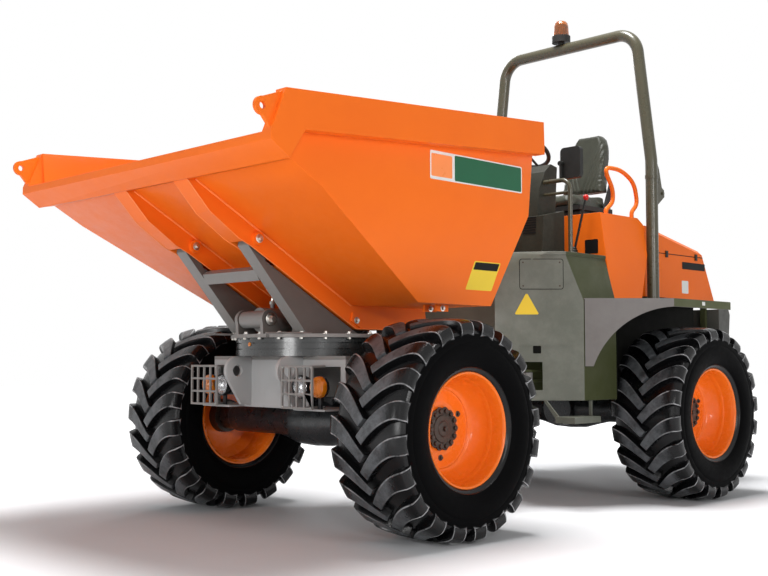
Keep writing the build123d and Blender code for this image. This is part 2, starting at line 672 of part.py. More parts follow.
def build_ram_barrel():
    """Barrel of the tipping cylinder, hung on the tower's front pin by a cross boss."""
    end_x = RAM_X - RAM_LENGTH
    with BuildPart() as barrel:
        rod((RAM_X - 25, 0, RAM_Z), (end_x, 0, RAM_Z), RAM_RADIUS)
        rod((end_x + 40, 0, RAM_Z), (end_x, 0, RAM_Z), RAM_RADIUS + 6)
        rod((RAM_X, -RAM_BOSS_HALF, RAM_Z), (RAM_X, RAM_BOSS_HALF, RAM_Z), RAM_BOSS_RADIUS)
        bore = RAM_PIN_RADIUS + RUNNING_FIT
        reach = RAM_BOSS_HALF + 5
        rod((RAM_X, -reach, RAM_Z), (RAM_X, reach, RAM_Z), bore, Mode.SUBTRACT)
        inner = (end_x + RAM_LENGTH - 130, 0, RAM_Z)
        rod((end_x - 1, 0, RAM_Z), inner, RAM_ROD_RADIUS + RUNNING_FIT, Mode.SUBTRACT)
        rod((RAM_X - 120, 0, RAM_Z), (RAM_X - 120, 0, RAM_Z + RAM_RADIUS + 30), 14)
    return barrel.part


def build_ram_rod():
    """Rod of the tipping cylinder with the eye that lifts the skip."""
    inner_x = RAM_X - 135
    with BuildPart() as ram:
        rod((inner_x, 0, RAM_Z), (RAM_EYE_X + 20, 0, RAM_Z), RAM_ROD_RADIUS)
        low = (RAM_EYE_X, -RAM_EYE_WIDTH / 2, RAM_Z)
        high = (RAM_EYE_X, RAM_EYE_WIDTH / 2, RAM_Z)
        rod(low, high, RAM_EYE_RADIUS)
        rod(low, high, RAM_PIN_RADIUS, Mode.SUBTRACT)
    return ram.part


# ---------------------------------------------------------------- skip
def chute_under(x):
    """Height of the chute's underside at x."""
    return FLOOR_Z + (x - FLOOR_FRONT_X) * CHUTE_SLOPE


def tub_outline(inset):
    """The tub's side view, moved in from the rear, bottom and chute by an inset."""
    rear_slope = (REAR_TOP_X - FLOOR_REAR_X) / (REAR_TOP_Z - FLOOR_Z)
    low = FLOOR_Z + inset
    rear_low = FLOOR_REAR_X + inset + rear_slope * inset
    rear_high = REAR_TOP_X + inset
    rise = inset * sqrt(1 + CHUTE_SLOPE ** 2)
    bend_x = FLOOR_FRONT_X - (rise - inset) / CHUTE_SLOPE
    top = 0 if inset == 0 else 60
    front = 0 if inset == 0 else 200
    chute_z = CHUTE_TOP_Z + rise + front * CHUTE_SLOPE
    outline = [(rear_low, low), (bend_x, low), (LIP_X + front, chute_z)]
    outline += [(FRONT_TOP_X + front, FRONT_TOP_Z + top)]
    return outline + [(rear_high + rear_slope * top, REAR_TOP_Z + top)]


def tub_section(inset):
    """The tub's end view: lower sides leaning out to a fold, then upright."""
    low = FLOOR_Z + inset
    lean = atan2(SIDE_HALF_WIDTH - FLOOR_HALF_WIDTH, FOLD_Z - FLOOR_Z)
    at_low = FLOOR_HALF_WIDTH - inset / cos(lean) + inset * tan(lean)
    fold = FOLD_Z + inset * tan(lean / 2)
    side = SIDE_HALF_WIDTH - inset
    top = REAR_TOP_Z + 80
    half = [(at_low, low), (side, fold), (side, top)]
    return half + [(-y, z) for y, z in reversed(half)]


def build_tub():
    """Open-fronted skip of folded plate, with its rim rails, end bands, lip and lifting eyes."""
    far = NOSE_X + 300
    with BuildPart() as inside:
        side_slab(tub_outline(SKIP_PLATE), -SIDE_HALF_WIDTH, SIDE_HALF_WIDTH)
        cross_slab(tub_section(SKIP_PLATE), 0, far, Mode.INTERSECT)
    rail_slope = (FRONT_TOP_Z - REAR_TOP_Z) / (FRONT_TOP_X - REAR_TOP_X)
    rail_front_z = line_z(FRONT_TOP_X - 115, (REAR_TOP_X, REAR_TOP_Z), (FRONT_TOP_X, FRONT_TOP_Z))
    band = [(REAR_TOP_X, REAR_TOP_Z), (FRONT_TOP_X, FRONT_TOP_Z), (NOSE_X, NOSE_Z)]
    band += [(NOSE_X, NOSE_Z - NOSE_FACE), (LIP_X, LIP_Z)]
    band += [(FRONT_TOP_X - 115, rail_front_z - RAIL_HEIGHT)]
    band += [(REAR_TOP_X - 6, REAR_TOP_Z - RAIL_HEIGHT + rail_slope * 6)]
    lip = [(NOSE_X, NOSE_Z), (NOSE_X, NOSE_Z - NOSE_FACE), (LIP_X, LIP_Z)]
    lip += [(LIP_X - LIP_DEPTH, chute_under(LIP_X - LIP_DEPTH))]
    lip += [(LIP_X - 150, chute_under(LIP_X - 150) + SKIP_PLATE), (NOSE_X - 70, NOSE_Z - 4)]
    with BuildPart() as tub:
        side_slab(tub_outline(0), -SIDE_HALF_WIDTH, SIDE_HALF_WIDTH)
        cross_slab(tub_section(0), 0, far, Mode.INTERSECT)
        add(inside.part, mode=Mode.SUBTRACT)
        side_slab(lip, -SIDE_HALF_WIDTH, SIDE_HALF_WIDTH)
        for side in (-1, 1):
            low, high = sorted((side * SIDE_HALF_WIDTH, side * (SIDE_HALF_WIDTH + RAIL_DEPTH)))
            side_slab(band, low, high)
            eye_low = side * EYE_Y - EYE_THICKNESS / 2
            eye_high = side * EYE_Y + EYE_THICKNESS / 2
            eye = [(FRONT_TOP_X - 5, FRONT_TOP_Z - 10), (EYE_X, EYE_Z + EYE_HEAD_RADIUS)]
            eye += [(EYE_X, EYE_Z - EYE_HEAD_RADIUS), (NOSE_X - 10, NOSE_Z + 15)]
            side_slab(eye, eye_low, eye_high)
            rod((EYE_X, eye_low, EYE_Z), (EYE_X, eye_high, EYE_Z), EYE_HEAD_RADIUS)
            hole = (EYE_X, eye_high, EYE_Z)
            rod((EYE_X, eye_low, EYE_Z), hole, EYE_HOLE_RADIUS, Mode.SUBTRACT)
    return tub.part


def build_ribs():
    """Two keel ribs under the chute and floor, tied together, with the rod eye's fork."""
    lip_back = LIP_X - LIP_DEPTH
    face_share = (LIP_DEPTH - 14) / LIP_DEPTH
    on_face = LIP_Z + (1 - face_share) * (chute_under(lip_back) - LIP_Z)
    chute = [(lip_back, chute_under(lip_back)), (LIP_X - 14, on_face)]
    knee_x = TIP_X + 302
    keel = [(knee_x, chute_under(knee_x) - RIB_NOSE_DEPTH)]
    keel += [(TIP_X + 120, TIP_Z - 4), (TIP_X + 32, TIP_Z - 43), (KEEL_KNEE_X, KEEL_Z)]
    keel += [(KEEL_REAR_X, KEEL_Z)]
    floor_edge = [(KEEL_REAR_X + 12, FLOOR_Z), (FLOOR_FRONT_X, FLOOR_Z)]
    outline = chute + keel + floor_edge
    rise = RIB_PLATE * 1.15
    raised = [(x, z + rise) for x, z in chute[1:] + keel[:-1]]
    raised += [(KEEL_REAR_X + RIB_PLATE, KEEL_Z + rise), (KEEL_REAR_X + RIB_PLATE, FLOOR_Z + 40)]
    raised += [(FLOOR_FRONT_X, FLOOR_Z + 200), (LIP_X, LIP_Z + 80)]
    slot = (TIP_X - 140, TIP_X + 88)
    with BuildPart() as ribs:
        for side in (-1, 1):
            low, high = sorted((side * (RIB_OUTER_Y - RIB_WIDTH), side * RIB_OUTER_Y))
            side_slab(outline, low, high)
            inside = (low + RIB_PLATE, high - RIB_PLATE)
            side_slab(raised, inside[0], inside[1], Mode.SUBTRACT)
            block(slot, inside, (TIP_Z - 150, TIP_Z), Mode.SUBTRACT)
            pin_ends = (low - 22, high + 22)
            for end, face in ((pin_ends[0], low), (pin_ends[1], high)):
                rod((TIP_X, end, TIP_Z), (TIP_X, face, TIP_Z), TIP_PIN_RADIUS + 12)
            rod((TIP_X, pin_ends[0], TIP_Z), (TIP_X, pin_ends[1], TIP_Z), TIP_PIN_RADIUS)
        tie = RIB_OUTER_Y - RIB_WIDTH
        block((KEEL_REAR_X + 4, KEEL_REAR_X + 44), (-tie, tie), (KEEL_Z + 10, FLOOR_Z))
        for side in (-1, 1):
            lug = sorted((side * (RAM_EYE_WIDTH / 2 + SIDE_GAP), side * (RAM_EYE_WIDTH / 2 + 24)))
            fork = [(KEEL_REAR_X + 30, FLOOR_Z), (KEEL_REAR_X + 30, RAM_Z - 30)]
            fork += [(RAM_EYE_X - 40, RAM_Z - 45)]
            fork += [(RAM_EYE_X + 40, RAM_Z - 45), (RAM_EYE_X + 75, FLOOR_Z)]
            side_slab(fork, lug[0], lug[1])
    return ribs.part


# ---------------------------------------------------------------- steering cylinders
def steer_angle():
    """Plan angle of a steering cylinder between its two pins, at rest."""
    return atan2(STEER_FRONT_Y - STEER_REAR_Y, STEER_FRONT_X - STEER_REAR_X)


def build_steer_barrel(side):
    """Barrel of one steering cylinder, on an upright pin at the rear chassis's corner."""
    angle = steer_angle()
    toward = Vector(cos(angle), side * sin(angle), 0)
    pin = Vector(STEER_REAR_X, side * STEER_REAR_Y, STEER_Z)
    half = STEER_EYE_HEIGHT / 2
    with BuildPart() as barrel:
        rod(pin + Vector(0, 0, -half), pin + Vector(0, 0, half), STEER_EYE_RADIUS)
        rod(pin + toward * 10, pin + toward * 70, STEER_ROD_RADIUS)
        rod(pin + toward * 60, pin + toward * STEER_BARREL, STEER_RADIUS)
        bore = STEER_ROD_RADIUS + RUNNING_FIT
        rod(pin + toward * 110, pin + toward * (STEER_BARREL + 1), bore, Mode.SUBTRACT)
        hole = 18 + RUNNING_FIT
        rod(pin + Vector(0, 0, -half), pin + Vector(0, 0, half), hole, Mode.SUBTRACT)
    return barrel.part


def build_steer_rod(side):
    """Rod of one steering cylinder; its eye lies in the front chassis's fork."""
    angle = steer_angle()
    toward = Vector(cos(angle), side * sin(angle), 0)
    rear = Vector(STEER_REAR_X, side * STEER_REAR_Y, STEER_Z)
    pin = Vector(STEER_FRONT_X, side * STEER_FRONT_Y, STEER_Z)
    half = STEER_EYE_HEIGHT / 2
    with BuildPart() as ram:
        rod(rear + toward * STEER_ROD_START, pin - toward * 10, STEER_ROD_RADIUS)
        rod(pin + Vector(0, 0, -half), pin + Vector(0, 0, half), STEER_EYE_RADIUS)
        rod(pin + Vector(0, 0, -half), pin + Vector(0, 0, half), 18, Mode.SUBTRACT)
    return ram.part


# ---------------------------------------------------------------- rear chassis
def build_rear_frame():
    """Rear half of the chassis: two long girders, cross plates, yoke, pin and steering forks."""
    girder = (SPINE_HALF_WIDTH + 20, SPINE_HALF_WIDTH + 60)
    rear_x = WEIGHT_FRONT_X
    yoke_x = -240
    post_x = BOX_REAR_X + 25
    with BuildPart() as frame:
        for side in (-1, 1):
            y_range = sorted((side * girder[0], side * girder[1]))
            block((rear_x, yoke_x), y_range, (FRAME_BOTTOM, TUNNEL_Z + 60))
            web = sorted((side * girder[1], side * (ARCH_WALL_Y - BODY_SHEET)))
            block((post_x + 20, post_x + 40), web, (BODY_BOTTOM + 30, TUNNEL_Z))
            block((rear_x, rear_x + 20), web, (BODY_BOTTOM + 150, TUNNEL_Z + 60))
            block((post_x, post_x + 40), y_range, (TUNNEL_Z + 60, BOX_TOP_Z - 2 * BODY_SHEET))
            post = sorted((side * (HOUSING_HALF_WIDTH - 50), side * HOUSING_HALF_WIDTH))
            outrigger = sorted((side * girder[1], side * HOUSING_HALF_WIDTH))
            arm = (HOUSING_FRONT_X - 40, HOUSING_FRONT_X - 20)
            block(arm, outrigger, (TUNNEL_Z - 40, TUNNEL_Z + 60))
            block(arm, post, (TUNNEL_Z + 60, HOUSING_BASE_Z))
            block((rear_x, rear_x + 20), post, (TUNNEL_Z + 60, HOUSING_BASE_Z))
        for x in (yoke_x - 20, -700, -1000, REAR_AXLE_X + 90, -1600, rear_x):
            block((x, x + 20), (-girder[0], girder[0]), (FRAME_BOTTOM, TUNNEL_Z - 40))
        for low in (NECK_BOTTOM - YOKE_PLATE, NECK_TOP):
            high = low + YOKE_PLATE
            yoke = [(yoke_x, -girder[1]), (-120, -NECK_HALF_WIDTH), (0, -NECK_HALF_WIDTH)]
            flat_slab(yoke + [(x, -y) for x, y in reversed(yoke)], low, high)
            rod((0, 0, low), (0, 0, high), NECK_HALF_WIDTH)
        rod((0, 0, NECK_BOTTOM - YOKE_PLATE - 18), (0, 0, NECK_TOP + YOKE_PLATE + 18), PIN_RADIUS)
        gap = STEER_EYE_HEIGHT / 2 + 3
        for side in (-1, 1):
            for low in (STEER_Z - gap - STEER_LUG_PLATE, STEER_Z + gap):
                high = low + STEER_LUG_PLATE
                fork = [(yoke_x, side * girder[0]), (yoke_x, side * (STEER_REAR_Y + 30))]
                fork += [(STEER_REAR_X, side * (STEER_REAR_Y + 36))]
                fork += [(STEER_REAR_X + 38, side * STEER_REAR_Y), (STEER_REAR_X, side * 440)]
                fork += [(yoke_x + 40, side * girder[1])]
                flat_slab(fork, low, high)
            pin_low = (STEER_REAR_X, side * STEER_REAR_Y, STEER_Z - gap - STEER_LUG_PLATE)
            pin_high = (STEER_REAR_X, side * STEER_REAR_Y, STEER_Z + gap + STEER_LUG_PLATE)
            rod(pin_low, pin_high, 18)
    return frame.part


def platform_plan(inset):
    """Plan of the platform box: straight front, chamfered corners and straight sides."""
    diagonal = inset * (sqrt(2) - 1)
    inner_x = PANEL_SUM - PANEL_INNER_Y
    corner_x = PANEL_SUM - SIDE_Y
    half = [(FRONT_WALL_X - inset, 0), (FRONT_WALL_X - inset, PANEL_INNER_Y - inset)]
    half += [(inner_x - inset * sqrt(2) + inset, PANEL_INNER_Y - inset)]
    half += [(corner_x - diagonal, SIDE_Y - inset), (BOX_REAR_X - inset * 3, SIDE_Y - inset)]
    half += [(BOX_REAR_X - inset * 3, 0)]
    return half


def clear_corner(clear):
    """Cut away what lies less than a clearance from the swivelled skip's side at full lock."""
    turn = radians(STEER_LIMIT)
    lean = (SIDE_HALF_WIDTH - FLOOR_HALF_WIDTH) / (FOLD_Z - FLOOR_Z)
    normal = Vector(cos(turn), sin(turn), lean).normalized()
    start = Vector((TURN_X - FLOOR_HALF_WIDTH) / cos(turn), 0, FLOOR_Z) - normal * clear
    with BuildSketch(Plane(origin=start, z_dir=normal)) as face:
        Rectangle(WHEELBASE, WHEELBASE)
    extrude(face.sketch, amount=SIDE_HALF_WIDTH, mode=Mode.SUBTRACT)


def build_platform():
    """Operator's platform: tread floor, chamfered front panels and leaning sides, open behind."""
    sheet = BODY_SHEET
    with BuildPart() as inside:
        flat_slab(platform_plan(sheet), BODY_BOTTOM - 1, BOX_TOP_Z - sheet * 2)
        shoulder = [(SIDE_Y - sheet, SHOULDER_Z - sheet), (SIDE_TOP_Y - sheet, BOX_TOP_Z - sheet)]
        shoulder += [(SIDE_Y + 50, BOX_TOP_Z - sheet)]
        cross_slab(shoulder, BOX_REAR_X - 50, FRONT_WALL_X + 300, Mode.SUBTRACT)
        clear_corner(SKIP_CLEARANCE + sheet)
    with BuildPart() as platform:
        flat_slab(platform_plan(0), BODY_BOTTOM, BOX_TOP_Z)
        clip = [(SIDE_Y, SHOULDER_Z), (SIDE_TOP_Y, BOX_TOP_Z), (SIDE_Y + 50, BOX_TOP_Z + 10)]
        clip += [(SIDE_Y + 50, SHOULDER_Z)]
        cross_slab(clip, BOX_REAR_X - 50, FRONT_WALL_X + 300, Mode.SUBTRACT)
        ledge = FLOOR_LEDGE
        edge = PANEL_SUM + ledge * sqrt(2)
        plate = [(FRONT_WALL_X + ledge, 0), (FRONT_WALL_X + ledge, PANEL_INNER_Y - ledge)]
        plate += [(edge - PANEL_INNER_Y + ledge, PANEL_INNER_Y - ledge)]
        plate += [(edge - SIDE_TOP_Y - ledge, SIDE_TOP_Y + ledge)]
        plate += [(BOX_REAR_X, SIDE_TOP_Y + ledge), (BOX_REAR_X, 0)]
        flat_slab(plate, BOX_TOP_Z, PLATFORM_Z)
        clear_corner(SKIP_CLEARANCE)
        add(inside.part, mode=Mode.SUBTRACT)
        tunnel = (BODY_BOTTOM - 1, TUNNEL_Z)
        block((BOX_REAR_X - 1, FRONT_WALL_X + 200), (-1, PANEL_INNER_Y), tunnel, Mode.SUBTRACT)
        notch = (NOTCH_LOW_Z, NOTCH_HIGH_Z)
        block((-400, 200), (PANEL_INNER_Y - 10, NOTCH_OUTER_Y), notch, Mode.SUBTRACT)
        floor_x = (-1000, BOX_REAR_X)
        block(floor_x, (0, POD_INNER_Y - SEAT_GAP), (BOX_TOP_Z - 2 * sheet, PLATFORM_Z))
        mirror(about=Plane.XZ)
    return platform.part


def build_mudguards():
    """Two mudguards: a chamfered wing with an arched edge, a top with a flange, and an arch wall."""
    sheet = BODY_SHEET
    corner = (PANEL_SUM - SIDE_Y, SIDE_Y)
    tip = (PANEL_SUM - GUARD_OUTER_Y, GUARD_OUTER_Y)
    span = hypot(tip[0] - corner[0], tip[1] - corner[1])
    wing_plane = Plane(origin=(corner[0], corner[1], 0), x_dir=(-1, 1, 0), z_dir=(1, 1, 0))
    start = BODY_SHEET + SEAT_GAP * sqrt(2)
    top = GUARD_TOP_Z
    low = top - GUARD_FLANGE
    foot = top - 437
    with BuildPart() as guard:
        with BuildSketch(wing_plane) as wing:
            with BuildLine():
                Polyline((span, low), (span, top), (start, top), (start, foot), (60, foot))
                ThreePointArc((60, foot), (270, top - 160), (span, low))
            make_face()
        extrude(wing.sketch, amount=-sheet)
        gap = SEAT_GAP
        plan = [(corner[0] - gap, corner[1] + gap), (tip[0], tip[1]), (GUARD_REAR_X, GUARD_OUTER_Y)]
        plan += [(GUARD_REAR_X, ARCH_WALL_Y + 150), (ARCH_WALL_REAR_X, ARCH_WALL_Y + 40)]
        plan += [(ARCH_WALL_REAR_X, ARCH_WALL_Y), (BOX_REAR_X, ARCH_WALL_Y)]
        plan += [(BOX_REAR_X, SIDE_Y + SEAT_GAP), (corner[0] - 20, SIDE_Y + SEAT_GAP)]
        flat_slab(plan, top - sheet, top)
        flange = (GUARD_OUTER_Y - sheet, GUARD_OUTER_Y)
        block((GUARD_REAR_X, tip[0]), flange, (low, top))
        wall = (ARCH_WALL_Y, ARCH_WALL_Y + sheet)
        block((ARCH_WALL_REAR_X, SIDE_PLATE_REAR_X - 50), wall, (BODY_BOTTOM + 100, top))
        baffle = (SIDE_PLATE_REAR_X - 50 - sheet, SIDE_PLATE_REAR_X - 50)
        block(baffle, (ARCH_WALL_Y, SIDE_Y), (BODY_BOTTOM + 20, top))
        mirror(about=Plane.XZ)
    return guard.part


def build_side_pods():
    """Two side pods beside the operator's legs: a hollow moulding, open underneath."""
    base = GUARD_TOP_Z
    profile = [(POD_FRONT_X, base), (POD_FRONT_X, POD_TOP_Z), (POD_REAR_X + 60, POD_TOP_Z)]
    profile += [(POD_REAR_X, POD_TOP_Z - 42), (POD_REAR_X, base + 340), (POD_REAR_X + 160, base)]
    section = [(POD_INNER_Y, base - 10), (POD_BASE_Y, base - 10), (POD_TOP_Y, POD_TOP_Z + 10)]
    section += [(POD_INNER_Y, POD_TOP_Z + 10)]
    with BuildPart() as pod:
        side_slab(profile, POD_INNER_Y, POD_BASE_Y)
        cross_slab(section, POD_REAR_X - 10, POD_FRONT_X + 10, Mode.INTERSECT)
        under = pod.faces().sort_by(Axis.Z)[0]
        offset(amount=-POD_SHEET, openings=under)
        mirror(about=Plane.XZ)
    return pod.part


def build_pedestal():
    """Seat pedestal between the side pods."""
    half = POD_INNER_Y - SEAT_GAP
    with BuildPart() as pedestal:
        profile = [(-1000, PLATFORM_Z), (-1000, SEAT_BASE_Z - 60), (-1060, SEAT_BASE_Z)]
        profile += [(-1500, SEAT_BASE_Z), (-1500, LID_FRONT_Z + 20), (HOUSING_FRONT_X, LID_FRONT_Z + 20)]
        profile += [(HOUSING_FRONT_X, PLATFORM_Z)]
        side_slab(profile, -half, half)
    return pedestal.part


def hood_profile():
    """Side view of the whole engine hood, lid and housing together."""
    profile = [(HOUSING_FRONT_X, HOUSING_BASE_Z), (HOUSING_FRONT_X, LID_FRONT_Z + 20)]
    profile += [(LID_FRONT_X, LID_FRONT_Z), (LID_REAR_X, LID_REAR_Z)]
    return profile + [(HOUSING_REAR_X, HOUSING_BASE_Z)]


def build_housing():
    """Fixed lower engine housing: sheet sides, sloping tail and the deck ahead of the lid."""
    sheet = HOOD_SHEET
    half = HOUSING_HALF_WIDTH
    with BuildPart() as housing:
        side_slab(hood_profile(), -half, half)
        cut = [(LID_FRONT_X + SEAT_GAP, SEAM_Z), (LID_FRONT_X + SEAT_GAP, LID_FRONT_Z + 80)]
        cut += [(HOUSING_REAR_X - 50, LID_FRONT_Z + 80), (HOUSING_REAR_X - 50, SEAM_Z)]
        side_slab(cut, -half, half, Mode.SUBTRACT)
        tail_x = line_x(SEAM_Z)
        hollow = [(HOUSING_FRONT_X - sheet, HOUSING_BASE_Z - 1)]
        hollow += [(HOUSING_FRONT_X - sheet, LID_FRONT_Z + 20 - sheet)]
        deck_x = LID_FRONT_X + SEAT_GAP + sheet
        hollow += [(deck_x, LID_FRONT_Z - sheet), (deck_x, SEAM_Z + 1)]
        hollow += [(tail_x + sheet, SEAM_Z + 1), (HOUSING_REAR_X + sheet, HOUSING_BASE_Z - 1)]
        side_slab(hollow, sheet - half, half - sheet, Mode.SUBTRACT)
        grille = (HOUSING_HALF_WIDTH - 120)
        opening = [(HOUSING_REAR_X - 60, HOUSING_BASE_Z + 40), (HOUSING_REAR_X + 60, HOUSING_BASE_Z + 40)]
        opening += [(HOUSING_REAR_X + 160, SEAM_Z - 40), (HOUSING_REAR_X - 60, SEAM_Z - 40)]
        side_slab(opening, -grille, grille, Mode.SUBTRACT)
        clear = HINGE_RADIUS + 3
        for y in (-HINGE_Y, HINGE_Y):
            space = (y - KNUCKLE_HALF - SEAT_GAP, y + KNUCKLE_HALF + SEAT_GAP)
            gap = (HINGE_Z - clear, HINGE_Z + clear)
            block((HINGE_X - clear, HINGE_X + clear), space, gap, Mode.SUBTRACT)
            for low, high in ((y - KNUCKLE_END, space[0]), (space[1], y + KNUCKLE_END)):
                ends = ((HINGE_X, low, HINGE_Z), (HINGE_X, high, HINGE_Z))
                rod(ends[0], ends[1], HINGE_RADIUS)
                rod(ends[0], ends[1], HINGE_PIN_RADIUS + RUNNING_FIT, Mode.SUBTRACT)
    return housing.part


def line_x(z):
    """X of the hood's sloping tail at a height."""
    share = (z - HOUSING_BASE_Z) / (LID_REAR_Z - HOUSING_BASE_Z)
    return HOUSING_REAR_X + share * (LID_REAR_X - HOUSING_REAR_X)


def build_lid():
    """Hinged engine lid: a shell with a falling top, chamfered edges and open underside."""
    sheet = HOOD_SHEET
    half = HOUSING_HALF_WIDTH
    low = SEAM_Z + SEAT_GAP
    outline = [(LID_FRONT_X, low), (LID_FRONT_X, LID_FRONT_Z), (LID_REAR_X, LID_REAR_Z)]
    outline += [(line_x(low), low)]
    with BuildPart() as lid:
        side_slab(outline, -half, half)
        ridge = lid.edges().filter_by(Plane.XZ).sort_by(Axis.Z)[-2:]
        chamfer(ridge, length=HOOD_CHAMFER)
        under = lid.faces().sort_by(Axis.Z)[0]
        offset(amount=-sheet, openings=under)
        clear = HINGE_RADIUS + 3
        for y in (-HINGE_Y, HINGE_Y):
            for side in (-1, 1):
                space = sorted((y + side * (KNUCKLE_HALF + SEAT_GAP), y + side * (KNUCKLE_END + 1)))
                height = (HINGE_Z - clear, HINGE_Z + clear)
                block((HINGE_X - clear, HINGE_X + clear), space, height, Mode.SUBTRACT)
            ends = (y - KNUCKLE_HALF, y + KNUCKLE_HALF)
            rod((HINGE_X, ends[0], HINGE_Z), (HINGE_X, ends[1], HINGE_Z), HINGE_RADIUS)
            ends = (y - KNUCKLE_END, y + KNUCKLE_END)
            rod((HINGE_X, ends[0], HINGE_Z), (HINGE_X, ends[1], HINGE_Z), HINGE_PIN_RADIUS)
    return lid.part


def build_rear_grille():
    """Barred radiator grille in the hood's tail."""
    half = HOUSING_HALF_WIDTH - 120 - SEAT_GAP
    low = HOUSING_BASE_Z + 40 + SEAT_GAP
    high = SEAM_Z - 40 - SEAT_GAP
    depth = 12
    frame = 18
    outline = [(line_x(low) + 3, low), (line_x(low) + 3 + depth, low)]
    outline += [(line_x(high) + 3 + depth, high), (line_x(high) + 3, high)]
    count = 7
    pitch = (high - low - 2 * frame) / count
    with BuildPart() as grille:
        side_slab(outline, -half, half)
        for row in range(count):
            z = low + frame + row * pitch
            for side in (-1, 1):
                cell = sorted((side * 8, side * (half - frame)))
                block((line_x(z) - 100, line_x(z) + 100), cell, (z + 5, z + pitch - 5), Mode.SUBTRACT)
    return grille.part


def build_counterweight():
    """Rear counterweight with a sloping underside and a jaw for the towing pin."""
    half = WEIGHT_HALF_WIDTH
    top = HOUSING_BASE_Z - 70
    with BuildPart() as weight:
        profile = [(WEIGHT_FRONT_X, WEIGHT_BOTTOM), (WEIGHT_REAR_X + 90, WEIGHT_BOTTOM)]
        profile += [(WEIGHT_REAR_X + 35, HITCH_Z + 100), (WEIGHT_REAR_X, top - 40)]
        profile += [(WEIGHT_REAR_X + 20, top), (WEIGHT_FRONT_X, top)]
        side_slab(profile, -half, half)
        jaw_x = WEIGHT_REAR_X - HITCH_REACH
        for low in (HITCH_Z - HITCH_GAP / 2 - HITCH_PLATE, HITCH_Z + HITCH_GAP / 2):
            block((jaw_x + 45, WEIGHT_REAR_X + 80), (-75, 75), (low, low + HITCH_PLATE))
            rod((jaw_x + 75, 0, low), (jaw_x + 75, 0, low + HITCH_PLATE), 75)
        block((WEIGHT_REAR_X + 35, WEIGHT_REAR_X + 85), (-75, 75), (HITCH_Z - 60, HITCH_Z + 60))
        hole_x = jaw_x + 60
        bottom = HITCH_Z - HITCH_GAP / 2 - HITCH_PLATE
        upper = HITCH_Z + HITCH_GAP / 2 + HITCH_PLATE
        rod((hole_x, 0, bottom), (hole_x, 0, upper), HITCH_PIN_RADIUS, Mode.SUBTRACT)
    return weight.part


def build_engine():
    """Engine and gearbox as one plain block on the girders."""
    with BuildPart() as engine:
        half = SPINE_HALF_WIDTH + 14
        front = HOUSING_FRONT_X - 90
        top = SEAM_Z - 67
        block((LID_REAR_X, front), (-half, half), (TUNNEL_Z - 40, top))
        block((front, front + 320), (-150, 150), (TUNNEL_Z - 40, top - 360))
    return engine.part


# ---------------------------------------------------------------- operator's station
def build_console():
    """Dash console: a box with a sloping shelf and a rounded cowl above it."""
    front = CONSOLE_FRONT_X
    rear = CONSOLE_REAR_X
    with BuildPart() as console:
        box = [(front, PLATFORM_Z), (rear, PLATFORM_Z), (rear, CONSOLE_SHELF_Z + 20)]
        box += [(front - 20, CONSOLE_SHELF_Z - 30)]
        side_slab(box, -CONSOLE_HALF_WIDTH, CONSOLE_HALF_WIDTH)
        cowl = [(front - 30, CONSOLE_SHELF_Z - 60), (front - 50, CONSOLE_SHELF_Z + 150)]
        cowl += [(front - 115, CONSOLE_TOP_Z - 60), (front - 185, CONSOLE_TOP_Z)]
        cowl += [(rear - 5, CONSOLE_TOP_Z - 15), (rear + 25, CONSOLE_SHELF_Z - 60)]
        side_slab(cowl, -POD_HALF_WIDTH, POD_HALF_WIDTH)
        build_column()
    return console.part


def wheel_tilt():
    """Unit vector along the steering column, up towards the operator."""
    axis = Vector(WHEEL_X - CONSOLE_REAR_X, 0, WHEEL_Z - (CONSOLE_TOP_Z - 190))
    return axis.normalized()


def build_column():
    """Add the steering column between the cowl and the steering wheel."""
    axis = wheel_tilt()
    top = Vector(WHEEL_X, 0, WHEEL_Z) - axis * (22 + SEAT_GAP)
    rod(top - axis * 400, top, 30)
    rod(top - axis * 60, top, 40)


def build_steering_wheel():
    """Steering wheel: round rim, hub and three spokes."""
    axis = wheel_tilt()
    centre = Vector(WHEEL_X, 0, WHEEL_Z)
    across = Vector(0, 1, 0)
    plane = Plane(origin=centre, x_dir=across, z_dir=axis)
    with BuildPart() as wheel:
        with BuildSketch(Plane(origin=centre, x_dir=axis, z_dir=across)) as ring:
            with Locations((0, WHEEL_RADIUS - WHEEL_RIM_RADIUS)):
                Circle(WHEEL_RIM_RADIUS)
        revolve(ring.sketch, axis=Axis(origin=centre, direction=axis), revolution_arc=360)
        rod(centre - axis * 22, centre + axis * 14, 42)
        for turn in (90, 210, 330):
            tip = plane.from_local_coords(Vector(WHEEL_RADIUS - 14, 0, 0).rotate(Axis.Z, turn))
            rod(centre, tip, 9)
    return wheel.part


def build_seat_frame():
    """Suspension base and side brackets that carry the cushion and the backrest."""
    x = SEAT_X
    half = SEAT_HALF_WIDTH
    with BuildPart() as frame:
        block((x - 210, x + 190), (-half + 15, half - 15), (SEAT_BASE_Z, SEAT_BASE_Z + 60))
        block((x - 220, x + 200), (-half + 5, half - 5), (SEAT_BASE_Z + 75, SEAT_BASE_Z + 110))
        block((x - 180, x + 160), (-half + 35, half - 35), (SEAT_BASE_Z + 60, SEAT_BASE_Z + 75))
        for side in (-1, 1):
            cheek = BACK_HALF_WIDTH + SEAT_GAP
            y_range = sorted((side * cheek, side * (cheek + 20)))
            bracket = [(x - 200, SEAT_BASE_Z + 80), (x - 120, SEAT_BASE_Z + 80)]
            bracket += [(x - 215, SEAT_BASE_Z + 300), (x - 255, SEAT_BASE_Z + 300)]
            side_slab(bracket, y_range[0], y_range[1])
    return frame.part


